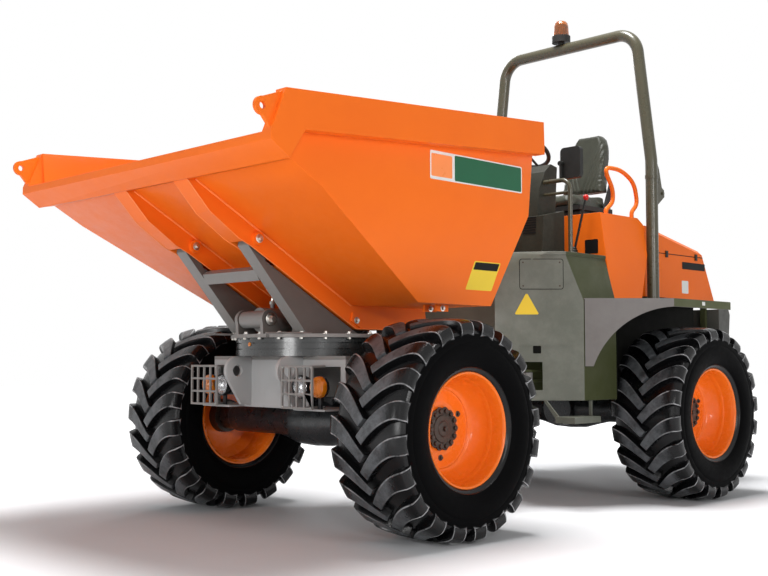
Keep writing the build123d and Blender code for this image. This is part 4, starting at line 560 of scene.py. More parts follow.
@dataclass(frozen=True)
class Metal:
    """Bare or plated metal with fine turning marks."""

    name: str
    body: Colour
    stain: Colour
    rough: float = 0.2
    marks: float = 0.08

    def make(self) -> Material:
        """Build the material."""
        nodes = Nodes(self.name)
        colour = nodes.mix(nodes.cloud(25, 6, 0.7, (0.45, 0.8)), self.body, self.stain)
        scratch = nodes.noise(60, 5, 0.7, nodes.stretched((1.0, 1.0, 14.0)))
        gloss = nodes.span(scratch, (0.3, 0.7), (self.rough * 0.7, self.rough * 1.5))
        nodes.finish(colour, gloss, scratch, self.marks, 0.0004)
        nodes.set(Metallic=1.0)
        return nodes.material


@dataclass(frozen=True)
class Plastic:
    """Moulded plastic with a fine spark texture."""

    name: str
    body: Colour
    rough: float = 0.5
    grain: float = 900.0

    def make(self) -> Material:
        """Build the material; its pale patches are half as bright again, and a little."""
        nodes = Nodes(self.name)
        pale = tuple(min(1.0, c * 1.5 + 0.006) for c in self.body)
        colour = nodes.mix(nodes.cloud(6, 6, 0.7, (0.4, 0.75)), self.body, pale)
        gloss = nodes.cloud(40, 5, 0.6, (0.3, 0.7), (self.rough - 0.07, self.rough + 0.1))
        nodes.finish(colour, gloss, nodes.cells(self.grain), 0.18, 0.0005)
        nodes.set(Specular_IOR_Level=0.22)
        return nodes.material


@dataclass(frozen=True)
class Vinyl:
    """Seat vinyl: leather-like cells, tone that varies in patches and a soft sheen."""

    name: str
    body: Colour
    pale: Colour

    def make(self) -> Material:
        """Build the material."""
        nodes = Nodes(self.name)
        colour = nodes.mix(nodes.cloud(11, 6, 0.7, (0.35, 0.75)), self.body, self.pale)
        gloss = nodes.cloud(55, 5, 0.6, (0.3, 0.7), (0.36, 0.56))
        nodes.finish(colour, gloss, nodes.cells(520), 0.45, 0.0009)
        nodes.set(Sheen_Weight=0.12, Sheen_Roughness=0.4, Specular_IOR_Level=0.45)
        return nodes.material


@dataclass(frozen=True)
class Lens:
    """Clear or tinted moulded lens."""

    name: str
    body: Colour
    through: float = 0.9
    rough: float = 0.06

    def make(self) -> Material:
        """Build the material; in patches its colour is about a fifth darker."""
        nodes = Nodes(self.name)
        deep = tuple(c * 0.78 for c in self.body)
        colour = nodes.mix(nodes.cloud(30, 3, 0.5, (0.3, 0.7)), self.body, deep)
        nodes.finish(colour, nodes.cloud(90, 3, 0.5, (0.3, 0.7), (self.rough, self.rough * 2)))
        nodes.set(Transmission_Weight=self.through, IOR=1.49, Coat_Weight=0.4)
        return nodes.material


class Palette:
    """Every finish of the machine, made once."""

    def __init__(self) -> None:
        """Make the materials. A paint has a colour, a shade, roughness, dust, coat and sheen."""
        self.orange = Paint("orange_paint", (0.90, 0.168, 0.012), (0.86, 0.152, 0.011),
                            0.38, 0.0, 0.05, 0.14).make()
        # A little lighter and yellower than the body orange: painted light on the rims, making up
        # for their self-shadow.
        self.rim = Paint("rim_orange_lightened", (0.92, 0.19, 0.014), (0.88, 0.17, 0.013),
                         0.24, 0.0, 0.15, 0.25).make()
        # Paler orange: weld beads, a coloured square, and the pale lines along the ribs' lower
        # edges that are painted highlights.
        self.weld = Paint("pale_orange_paint", (0.95, 0.30, 0.085), (0.92, 0.24, 0.05),
                          0.3, 0.0, 0.1, 0.4).make()
        self.grey = Paint("chassis_grey", (0.215, 0.205, 0.195), (0.185, 0.178, 0.170),
                          0.42, 0.10).make()
        self.flange = Paint("flange_olive", (0.088, 0.098, 0.044), (0.078, 0.086, 0.038),
                            0.4, 0.1, 0.0, 0.1).make()
        # Darker, warmer grey for the sides of the tower arms: painted shade and painted reflection
        # of the orange.
        self.shaded_side_grey = Paint("arm_side_painted_shade", (0.105, 0.092, 0.084), (0.085, 0.075, 0.068),
                         0.42, 0.10).make()
        # Near black: painted shade under and inboard of the mudguards and in the step slot; also
        # the black of the cover's seal.
        self.shade_and_seal_black = Paint("painted_shade_and_seal_black", (0.006, 0.006, 0.005), (0.010, 0.010, 0.009),
                          0.6, 0.0, 0.0, 0.02).make()
        # Lighter grey for the front plate than for the chassis: painted light, making up for the
        # skip's shadow over it.
        self.plate = Paint("front_plate_lightened_grey", (0.39, 0.39, 0.388), (0.35, 0.35, 0.347),
                           0.42, 0.10).make()
        self.olive = Paint("body_grey_green", (0.128, 0.133, 0.108), (0.104, 0.110, 0.086),
                           0.38, 0.35).make()
        self.moss = Paint("body_dark_olive", (0.052, 0.058, 0.024), (0.046, 0.052, 0.020),
                          0.42, 0.08, 0.0, 0.15).make()
        self.wing = Paint("wing_grey", (0.165, 0.152, 0.146), (0.143, 0.131, 0.123),
                          0.40, 0.18).make()
        self.hoop = Paint("hoop_brown", (0.066, 0.060, 0.034), (0.054, 0.049, 0.027),
                          0.28, 0.0, 0.1, 0.45).make()
        self.ring = Paint("slew_ring_black", (0.016, 0.017, 0.017), (0.010, 0.011, 0.011),
                          0.24, 0.05, 0.3, 0.5).make()
        self.yellow = Paint("yellow_plate", (0.84, 0.60, 0.035), (0.80, 0.55, 0.03), 0.4).make()
        self.green = Paint("green_plate", (0.008, 0.105, 0.045), (0.007, 0.092, 0.038),
                           0.35).make()
        self.white = Paint("white_plate", (0.78, 0.78, 0.75), (0.72, 0.72, 0.70), 0.4).make()
        self.black = Paint("black_plate", (0.010, 0.010, 0.010), (0.014, 0.014, 0.014),
                           0.4, 0.0, 0.0, 0.06).make()
        self.iron = Casting("axle_casting", (0.010, 0.011, 0.012), (0.040, 0.044, 0.048),
                            0.3).make()
        self.weight = Casting("counterweight_casting", (0.036, 0.036, 0.030),
                              (0.062, 0.060, 0.052), 0.5).make()
        self.hub = Casting("hub_casting", (0.028, 0.018, 0.012), (0.075, 0.050, 0.035),
                           0.5).make()
        self.rubber = Rubber("tyre_tread").make()
        self.wall = Rubber("tyre_wall", (0.0020, 0.0020, 0.0022), sheen=0.02,
                           gloss=(0.40, 0.60)).make()
        self.trim = Plastic("black_trim", (0.012, 0.012, 0.011)).make()
        self.dash = Plastic("dash_olive", (0.017, 0.0165, 0.010)).make()
        self.shiny = Plastic("black_gloss", (0.010, 0.010, 0.011), 0.18, 300).make()
        self.red = Plastic("red_knob", (0.45, 0.012, 0.010), 0.25, 300).make()
        self.steel = Metal("zinc_plated", (0.62, 0.60, 0.56), (0.40, 0.36, 0.30), 0.30).make()
        self.dark = Metal("dark_steel", (0.075, 0.055, 0.042), (0.030, 0.022, 0.017),
                          0.45, 0.2).make()
        self.chrome = Metal("chromed_rod", (0.80, 0.80, 0.82), (0.70, 0.70, 0.72),
                            0.08, 0.02).make()
        self.mirror = Metal("mirror_glass", (0.88, 0.90, 0.92), (0.85, 0.87, 0.90),
                            0.02, 0.0).make()
        self.vinyl = Vinyl("seat_vinyl", (0.017, 0.019, 0.009), (0.032, 0.035, 0.019)).make()
        self.clear = Lens("lamp_lens", (0.93, 0.94, 0.94), 0.92, 0.04).make()
        self.amber = Lens("amber_lens", (0.98, 0.27, 0.008), 0.30, 0.08).make()
        self.beacon = Lens("beacon_lens", (0.62, 0.17, 0.012), 0.75, 0.06).make()
        self.ruby = Lens("ruby_lens", (0.75, 0.02, 0.015), 0.3, 0.08).make()


# ---------------------------------------------------------------- sub-assemblies
@dataclass
class Skins:
    """CAD solids shown as merged copies with rounded edges, so that edges catch the light."""

    merge: float = 0.00002      # metres within which corners are one
    flat: float = 0.6           # degrees within which neighbouring faces are one
    bent: float = 32.0          # degrees past which an edge is rounded

    def soften(self, node: str, finish: Material, body: str, width: float,
               other: Material | None = None, chooses: FaceTest | None = None) -> None:
        """Show a node as a copy with its faces merged and its edges rounded.

        Args:
            node: The CAD node.
            finish: Its material.
            body: The body that carries it.
            width: Width of the rounding in metres.
            other: A second material for the faces that the test chooses.
            chooses: Test on a face's centre in metres and its normal.
        """
        mesh = frame["nodes"][node].data.copy()
        mesh.name = f"{node}_skin"
        work = bmesh.new()
        work.from_mesh(mesh)
        bmesh.ops.remove_doubles(work, verts=work.verts, dist=self.merge)
        bmesh.ops.dissolve_limit(work, angle_limit=math.radians(self.flat), verts=work.verts,
                                 edges=work.edges)
        work.to_mesh(mesh)
        work.free()
        mesh.materials.clear()
        mesh.materials.append(finish)
        if other is not None:
            mesh.materials.append(other)
            for face in mesh.polygons:
                face.material_index = int(chooses(face.center, face.normal))
        piece = show(f"{node}_skin", mesh)
        shade(mesh, 30)
        edge = piece.modifiers.new("edge", "BEVEL")
        edge.width = width
        edge.segments = 2
        edge.limit_method = "ANGLE"
        edge.angle_limit = math.radians(self.bent)
        edge.use_clamp_overlap = True
        edge.harden_normals = True
        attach(piece, body)
        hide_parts(node)
        LOG.info("%s: rounded copy of %s", piece.name, node)


@dataclass
class Dress:
    """What the classes that dress one region of the machine share."""

    palette: Palette
    body: str

    def add(self, name: str, finish: Material, *shells: Shell, sharp: float = 30.0,
            body: str | None = None, pair: bool = True, node: str | None = None) -> None:
        """Join shells, add their reflection and place them as one piece.

        Args:
            name: The piece's name.
            finish: Its material.
            shells: What it is made of.
            sharp: Angle in degrees past which an edge stays sharp.
            body: The body that carries it, where it isn't the region's own.
            pair: Whether the reflection is added.
            node: The CAD node that it stands for, if there is one.
        """
        whole = join(list(shells))
        if pair:
            whole = whole.both_sides()
        piece = whole.place(name, finish, body or self.body, sharp)
        if node:
            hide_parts(node)

    def sheet(self, name: str, finish: Material, centre: Point, face: Face, size: Pair,
              depth: float = 1.5) -> None:
        """Place one blank plate with rounded corners on a face of each side.

        Args:
            name: The piece's name.
            finish: Its material.
            centre: Middle of the plate on the face.
            face: Directions of its width and height.
            size: Width and height.
            depth: Thickness out of the face.
        """
        radius = min(8.0, 0.12 * min(size))
        self.add(name, finish, panel(centre, face, round_rect(*size, radius), depth))


@dataclass
class Wheel(Dress):
    """One wheel: lugged tyre, dished rim and hub with its nuts."""

    name: str
    x: float
    side: int
    radius: float = 584.0
    y: float = 957.0
    lugs: int = 20
    lead: float = 0.29          # turn by which a lug's shoulder end trails its crown end
    phase: float = 0.066        # turn of the first lug
    arc: float = 560.0          # radius at which a lug's width is measured

    def carcass(self) -> Shell:
        """Tyre body: a section of bead, ribbed wall, shoulder and crown carried round the axle."""
        half = [(200, 292), (203, 300), (214, 308), (219, 314), (221, 322), (227, 326), (230, 334),
                (233, 338), (240, 356), (246, 380), (249, 405), (249.5, 428), (248, 450),
                (246, 455), (247, 460), (245, 480), (241, 498), (232, 514), (212, 526),
                (170, 534), (110, 540), (50, 543)]
        profile = half + [(0, 544)] + [(-along, radius) for along, radius in reversed(half)]
        return turned(profile, self.off(0), SIDE, 128)

    def lug_points(self, station: np.ndarray, angle: np.ndarray, rise: np.ndarray) -> np.ndarray:
        """Map distance across the tread, turn and rise to a point of the tyre.

        Args:
            station: Distance from the crown's middle, over the shoulder and down the wall.
            angle: Turn from the top towards the front.
            rise: 0 on the tyre body, 1 on the lugs' tops.

        Returns:
            Points about the wheel's centre; between the body's section and the tops' section.
        """
        reach = (-60, 0, 60, 120, 180, 212, 238, 262, 300, 350)
        body = ((-60, 0, 60, 120, 178, 208, 228, 240, 246, 246),
                (541, 542, 541, 537, 529, 523, 513, 496, 460, 410))
        tops = ((-60, 0, 60, 120, 182, 216, 240, 249.5, 250, 250),
                (583, 584, 583, 580, 575, 570, 557, 530, 478, 415))
        low, high = (np.stack([np.interp(station, reach, line) for line in section])
                     for section in (body, tops))
        y, r = low + (high - low) * rise
        return np.stack([r * np.sin(angle), y, r * np.cos(angle)], axis=-1)

    def lug(self, turn: float) -> tuple[Shell, np.ndarray, np.ndarray]:
        """One lug: a section swept from the crown, in a falling curve, over the shoulder.

        Its width is 56 + 52 * t^1.3, where t is 0 at the crown and 1 on the wall.

        Args:
            turn: Turn of the lug's middle from the top towards the front.

        Returns:
            The shell, and each point's wear marks and its edge marks for the painted highlight
            lines.
        """
        t = np.concatenate([[0.0, 0.012], np.linspace(0.03, 0.985, 18), [1.0]])
        station = -10.0 + 286.0 * t
        sweep = np.sin(np.clip(t / 0.84, 0, 1) * math.pi / 2 * 0.92)
        angle = turn - self.lead * sweep
        run = np.gradient(station)
        arc = np.gradient(angle) * self.arc
        length = np.hypot(run, arc)
        square_s, square_a = -arc / length, run / length
        top = (56.0 + 52.0 * t ** 1.3) / 2
        base = top + 8.0
        across = np.stack([-base, -base, -top, 4 - top, 10 - top, 0 * top, top - 10, top - 4,
                           top, base, base], axis=1)
        rise = np.array([-0.15, 0.06, 0.94, 1.0, 1.0, 1.0, 1.0, 1.0, 0.94, 0.06, -0.15])
        s = station[:, None] + across * square_s[:, None]
        a = angle[:, None] + across * square_a[:, None] / self.arc
        fade = np.ones_like(t)
        fade[0], fade[1], fade[-1] = 0.35, 0.93, 0.55
        points = self.lug_points(s, a, rise[None, :] * fade[:, None])
        grid = (len(t), len(rise))
        faces = grid_faces(*grid, False, True) + end_faces(*grid)
        wear = (rise == 1.0)[None, :] * np.clip((185.0 - s) / 60.0, 0.0, 1.0)
        edge = np.zeros_like(s)
        # Edge marks on the tops' rims, growing towards the shoulder: where the pale painted
        # highlight lines go.
        edge[:, [3, 7]] = np.clip((station - 60.0) / 120.0, 0.0, 1.0)[:, None]
        return Shell(points.reshape(-1, 3), faces), wear.ravel(), edge.ravel()

    def tread(self) -> tuple[Shell, np.ndarray, np.ndarray]:
        """All lugs with their marks: each half's lugs lie half a pitch from the other half's."""
        pitch = FULL_TURN / self.lugs
        left, right = ([self.lug(self.phase + (index + shift) * pitch)
                        for index in range(self.lugs)] for shift in (0, 0.5))
        halves = [join([part[0] for part in half]) for half in (left, right)]
        both = join([halves[0], halves[1].mirrored()])
        wear, edge = (np.concatenate([part[mark] for part in left + right]) for mark in (1, 2))
        return both.moved(self.off(0)), wear, edge

    def rim_section(self) -> Outline:
        """Rim and disc section with rounded folds, from the outer lip round to it again."""
        return [(205, 303), (210, 300.5), (211.5, 297), (210, 293), (204, 288), (196, 285),
                (184, 282.5), (181, 281), (136, 277.5), (131, 276), (127, 273), (106, 271.5),
                (100, 269.5), (86, 264), (60, 251), (36, 236), (24, 226), (20, 220), (19, 214),
                (16, 210), (12, 209), (10, 206), (10, 200), (14, 150), (15, 112), (13, 108.2),
                (-2, 108.2), (-1, 205), (-6, 214), (-14, 234), (-34, 270), (-60, 274),
                (-190, 274), (-200, 285), (-209, 292), (-209, 299), (-204, 301), (-198, 288),
                (-186, 283), (-50, 283), (-24, 262), (2, 240), (30, 246), (56, 262), (90, 280),
                (120, 284), (192, 289), (198, 300)]

    def make(self) -> None:
        """Build the tyre, rim, hub and nuts, and stand them in for the solids."""
        name, look, out = self.name, self.palette, (0.0, float(self.side), 0.0)
        carcass = self.carcass()
        tread, wear, edge = self.tread()
        plain = np.zeros(len(carcass.points))
        marks = {"wear": np.concatenate([plain, wear]), "edge": np.concatenate([plain, edge])}
        whole = join([carcass, tread])
        tyre = whole.place(f"tyre_{name}_lugged", look.rubber, self.body, 28, marks)
        self.part_wall(tyre.data)
        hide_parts(f"tyre_{name}")
        rim = turned(self.rim_section(), self.off(0), out, 96, closed=True)
        self.add(f"rim_{name}_dished", look.rim, rim, sharp=40, pair=False, node=f"rim_{name}")
        hub = turned([(-60, 0), (-60, 104), (13, 107.7), (24, 107.7), (25, 106.5), (25, 84),
                      (28, 74), (34, 71), (36, 44), (42, 40), (43, 38), (43, 0)],
                     self.off(0), out, 64)
        self.add(f"hub_{name}_cover", look.hub, hub, pair=False, node=f"hub_{name}")
        self.add(f"nuts_{name}", look.hub, screw_ring(self.off(25), out, 94, 14, 23),
                 screw_ring(self.off(14.2), out, 152, 3, 17, 0.5),
                 screw(self.off(43), out, 26, 0.0), pair=False)
        foot = (self.x + 238, self.side * (self.y + 38), self.radius)
        valve = turned([(-4, 0), (-4, 7), (10, 6), (12, 4.5), (34, 4.5), (36, 5.5), (44, 5.5),
                        (45, 0)], foot, (-0.5, self.side * 0.86, 0), 12)
        self.add(f"valve_{name}", look.dark, valve, pair=False)

    def off(self, distance: float) -> Point:
        """A point on the axle line, a distance outboard of the wheel's middle."""
        return (self.x, self.side * (self.y + distance), self.radius)

    def part_wall(self, mesh: Mesh) -> None:
        """Give the faces of the tyre's walls, outside 224 mm and within 503, their finish."""
        mesh.materials.append(self.palette.wall)
        for face in mesh.polygons:
            x, y, z = face.center / MILLI
            radius = math.hypot(x + CENTRE_X - self.x, z - self.radius)
            face.material_index = int(abs(abs(y) - self.y) > 224.0 and radius < 503.0)


def read_points(mesh: Mesh, what: str = "co") -> np.ndarray:
    """A mesh's places or normals, one point a row."""
    values = np.empty(len(mesh.vertices) * 3)
    mesh.vertices.foreach_get(what, values)
    return values.reshape(-1, 3)


def write_points(mesh: Mesh, places: np.ndarray) -> None:
    """Move a mesh's points to new places."""
    mesh.vertices.foreach_set("co", places.ravel())
    mesh.update()


@dataclass
class Seat:
    """Seat cushion and backrest, blown up by cloth simulation and then sewn into channels."""

    palette: Palette
    body: str = "rear_chassis"
    x: float = -1275.0
    base: float = 2080.0
    voxel: float = 0.007        # metres
    pressure: float = 4.0
    tension: float = 12.0
    steps: int = 16             # of the simulation
    swell: float = 0.010        # furthest that a point may move, in metres
    channel: float = 0.007      # half width of a sewn channel, in metres

    def block(self, outline: Outline, half: float, high_half: float) -> Shell:
        """A pad's starting block, its sides narrowing with height to another half width."""
        flat = prism(outline, Along.Y, -half, half)
        level = flat.points[:, 2]
        share = (level - level.min()) / np.ptp(level)
        flat.points[:, 1] *= 1 + (high_half / half - 1) * share
        return flat

    def inflate(self, piece: Piece) -> None:
        """Remesh a pad, let pressure swell it and cap each point's way."""
        grid = piece.modifiers.new("grid", "REMESH")
        grid.mode = "VOXEL"
        grid.voxel_size = self.voxel
        self.apply(piece)
        start = read_points(piece.data)
        cloth = piece.modifiers.new("cloth", "CLOTH")
        cloth.settings.use_pressure = True
        cloth.settings.uniform_pressure_force = self.pressure
        cloth.settings.effector_weights.gravity = 0.0
        cloth.settings.tension_stiffness = self.tension
        scene = bpy.context.scene
        for step in range(self.steps):
            scene.frame_set(step + 1)
        self.apply(piece)
        scene.frame_set(1)
        move = read_points(piece.data) - start
        length = np.linalg.norm(move, axis=1)[:, None]
        move *= np.minimum(1.0, self.swell / np.maximum(length, 1e-9))
        write_points(piece.data, start + move)

    def apply(self, piece: Piece) -> None:
        """Make the piece's modifiers part of its mesh."""
        view = bpy.context.evaluated_depsgraph_get()
        mesh = bpy.data.meshes.new_from_object(piece.evaluated_get(view))
        piece.modifiers.clear()
        piece.data = mesh

    def sew(self, piece: Piece, seams: list[tuple[Point, float]], depth: float,
            face: Point) -> None:
        """Press channels into a pad: depth * exp(-(distance / width)^2) along its normals.

        Args:
            piece: The pad.
            seams: Each channel's plane over (x, |y|, z) in metres: its direction and its place.
            depth: Depth of a channel.
            face: Outward direction of the sewn face.
        """
        co, normal = read_points(piece.data), read_points(piece.data, "normal")
        facing = np.clip(normal @ np.array(face), 0.0, 1.0) ** 0.7
        folded = np.stack([co[:, 0], np.abs(co[:, 1]), co[:, 2]], axis=1)
        press = np.zeros(len(co))
        for direction, place in seams:
            gap = folded @ np.array(direction) - place
            press = np.maximum(press, np.exp(-((gap / self.channel) ** 2)))
        write_points(piece.data, co - normal * (press * facing * depth)[:, None])

    def taper(self, piece: Piece, along: Along, shoulder: float, narrow: float) -> None:
        """Round a pad's outline: y * (1 - narrow * past^3), past from 0 at the shoulder to 1.

        Args:
            piece: The pad, already remeshed.
            along: The direction that the length is measured in.
            shoulder: Share of the length where the narrowing starts.
            narrow: Part of the width lost at the far end.
        """
        co = read_points(piece.data)
        level = co[:, along.value]
        share = (level - level.min()) / np.ptp(level)
        past = np.clip((share - shoulder) / (1 - shoulder), 0.0, 1.0)
        co[:, 1] *= 1 - narrow * past ** 3
        write_points(piece.data, co)

    def make(self) -> None:
        x, low, vinyl = self.x, self.base, self.palette.vinyl
        cushion = self.block([(x - 185, low + 6), (x + 205, low + 6), (x + 214, low + 40),
                              (x + 196, low + 78), (x - 60, low + 78), (x - 186, low + 90)],
                             182, 170)
        pad = cushion.place("seat_cushion_padded", vinyl, self.body, 60)
        self.inflate(pad)
        self.taper(pad, Along.X, 0.72, 0.22)
        ahead = (x - CENTRE_X) * MILLI
        slant = (-0.35, 0.937, 0)
        self.sew(pad, [(SIDE, 0.118), (slant, 0.030 - 0.35 * ahead),
                       (slant, 0.062 - 0.35 * ahead)], 0.008, UP)
        self.finish(pad, "seat_cushion")
        back = self.block([(x - 208, low + 120), (x - 132, low + 122), (x - 150, low + 240),
                           (x - 186, low + 400), (x - 240, low + 598), (x - 305, low + 600),
                           (x - 318, low + 560), (x - 262, low + 380)], 186, 168)
        rest = back.place("seat_back_padded", vinyl, self.body, 60)
        self.inflate(rest)
        self.taper(rest, Along.Z, 0.50, 0.50)
        foot = (low + 150) * MILLI
        seams = [((0, 0.95, -0.31), 0.95 * y - 0.31 * foot) for y in (0.012, 0.046, 0.080)]
        seams.append(((0, 0.985, -0.17), 0.985 * 0.118 - 0.17 * foot))
        self.sew(rest, seams, 0.009, (0.94, 0, 0.34))
        self.finish(rest, "seat_back")

    def finish(self, pad: Piece, node: str) -> None:
        pad.data.materials.clear()
        pad.data.materials.append(self.palette.vinyl)
        pad.data.polygons.foreach_set("use_smooth", np.ones(len(pad.data.polygons), bool))
        smooth = pad.modifiers.new("smooth", "SMOOTH")
        smooth.factor = 0.5
        smooth.iterations = 4
        fine = pad.modifiers.new("fine", "SUBSURF")
        fine.levels = 1
        fine.render_levels = 1
        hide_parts(node)


@dataclass
class SkipDress(Dress):
    """Weld beads, painted edge highlights, pin nuts, brackets and blank plates of the skip."""

    body: str = "skip"

    def beads(self) -> None:
        """Weld beads where the ribs meet the chute, and pale lines along their lower edges:
        painted edge highlights.
        """
        keel = ((2440, 1849), (2302, 1701), (2120, 1579), (2032, 1540), (1285, 1121), (706, 1121))
        chute = ((1326, 1255), (2393, 1857))
        runs = []
        for y, lean in ((225.0, -3.0), (345.0, 3.0)):
            runs.append(pipe(np.array([(x, y + lean, z - 3) for x, z in chute]), 5.0))
            # Pale lines along each rib's lower edge: painted edge highlights.
            runs.append(pipe(np.array([(x, y, z) for x, z in keel]), 2.6))
        self.add("skip_rib_welds_and_edge_highlights", self.palette.weld, *runs, sharp=50)

    def nuts(self) -> None:
        """Pin nuts at both ends of both tipping pins."""
        x, z = TIP_PIN
        self.add("tip_pin_nuts", self.palette.steel, screw((x, 367, z), SIDE, 24),
                 screw((x, 203, z), (0, -1, 0), 24))

    def brackets(self) -> None:
        """Stop tabs on the ribs and rest pads under the floor."""
        tab = prism([(1262, 1128), (1330, 1166), (1318, 1214), (1250, 1176)], Along.Y, 345, 357)
        pads = [box((1000, 1096), y, (1214, 1252)) for y in ((690, 706), (780, 796))]
        self.add("skip_tabs", self.palette.orange, tab, *pads)
        bolts = [screw(spot, SIDE, size) for spot, size in
                 (((1290, 357, 1170), 20), ((1048, 706, 1232), 18), ((1048, 796, 1232), 18))]
        self.add("skip_tab_bolts", self.palette.steel, *bolts)

    def plates(self) -> None:
        """Blank plates and coloured fields on the skip's sides."""
        look, wall, level = self.palette, 1100, 1951
        self.sheet("skip_side_plate", look.white, (1096, wall, level), LEFT_FACE, (752, 149))
        self.sheet("skip_side_field", look.green, (1006, wall, level), LEFT_FACE, (556, 135), 2.4)
        self.sheet("skip_side_square", look.weld, (1384, wall, level), LEFT_FACE, (160, 118), 2.4)
        self.sheet("skip_label", look.yellow, (872, 942, 1412), SKIP_FACE, (222, 170))
        self.sheet("skip_label_band", look.black, (872, 966, 1464), SKIP_FACE, (204, 44), 2.4)

    def make(self) -> None:
        """Add every piece."""
        self.beads()
        self.nuts()
        self.brackets()
        self.plates()


@dataclass
class FrontDress(Dress):
    """Lamps, bolts and fittings of the front chassis and the slewing tower."""

    body: str = "front_chassis"

    def headlamps(self) -> None:
        """Cups with chromed reflectors behind domed lenses, in place of the solids."""
        cup, bowl, dome = (turned(section, (0, 355, 800), AHEAD) for section in (
            [(1657, 0), (1657, 44), (1664, 56), (1680, 63), (1708, 65), (1713, 63), (1713, 59),
             (1706, 58), (1700, 57)],
            [(1707, 58), (1694, 52), (1680, 38), (1671, 20), (1669, 11), (1688, 10), (1692, 7),
             (1693, 0)],
            [(1716.5, 0), (1715.5, 20), (1713, 40), (1709, 54), (1706, 58), (1703, 57),
             (1706, 50), (1709.5, 38), (1712, 20), (1713, 0)]))
        stem = box((1674, 1686), (343, 367), (684, 742))
        self.add("headlamp_cups", self.palette.shiny, cup, stem, node="headlamps")
        self.add("headlamp_bowls", self.palette.chrome, bowl, sharp=40)
        self.add("headlamp_lenses", self.palette.clear, dome, sharp=40)

    def indicators(self) -> None:
        """Ribbed amber lenses on black bases, in place of the solids."""
        spot = (0, 492, 800)
        steps = [(1716.5, 0), (1716, 8)]
        for ring in range(5):
            radius = 12.0 + 9.0 * ring
            steps += [(1716 - 0.9 * ring, radius), (1713.5 - 1.1 * ring, radius + 4)]
        steps += [(1709, 54), (1700, 58), (1684, 59), (1684, 0)]
        self.add("indicator_lenses", self.palette.amber, turned(steps, spot, AHEAD), sharp=25,
                 node="indicators")
        base = turned([(1657, 0), (1657, 40), (1666, 56), (1682, 60), (1686, 60), (1686, 0)],
                      spot, AHEAD)
        stem = box((1674, 1686), (480, 504), (684, 745))
        self.add("indicator_bases", self.palette.shiny, base, stem)

    def bolts(self) -> None:
        """Studs of the lamp guards."""
        studs = [screw((1783, y, z), AHEAD, 11, 0.0) for y in (302, 538) for z in (694, 906)]
        self.add("guard_studs", self.palette.steel, *studs)

    def ring(self) -> None:
        """Bolts above and below the slewing tower's base, and a small round reflector."""
        start = 0.13
        above = screw_ring((AXLE_X, 0, 1090), UP, 500, 24, 19, start)
        below = [screw((AXLE_X + 508 * math.cos(turn), 508 * math.sin(turn), 1070), (0, 0, -1),
                       17, 0.0) for turn in turns(24, start)]
        self.add("slew_bolts", self.palette.steel, above, *below, body="tower", pair=False)
        lens = turned([(0, 0), (0, 11), (5, 11), (7, 9), (8, 0)], (1744, -39, 1033), AHEAD, 20)
        self.add("slew_reflector", self.palette.amber, lens, pair=False)

    def tower(self) -> None:
        """Nuts of the ram's pin, the fitting on its barrel, and welds along the arms' feet."""
        steel, port = self.palette.steel, (1615, 0, 1262)
        self.add("ram_pin_nuts", steel, screw((1735, 135, 1172), SIDE, 36), body="tower")
        neck = turned([(18, 0), (18, 10), (34, 10), (36, 8), (36, 0)], port, UP, 16)
        self.add("tip_barrel_fitting", steel, screw(port, UP, 30, 0.0), neck,
                 body="tip_barrel", pair=False)
        beads = [pipe(np.array([(1610, y, 1092), (1850, y, 1092)]), 5) for y in (237, 333)]
        self.add("tower_welds", self.palette.grey, *beads, sharp=50, body="tower")

    def make(self) -> None:
        """Add every piece."""
        self.headlamps()
        self.indicators()
        self.bolts()
        self.ring()
        self.tower()


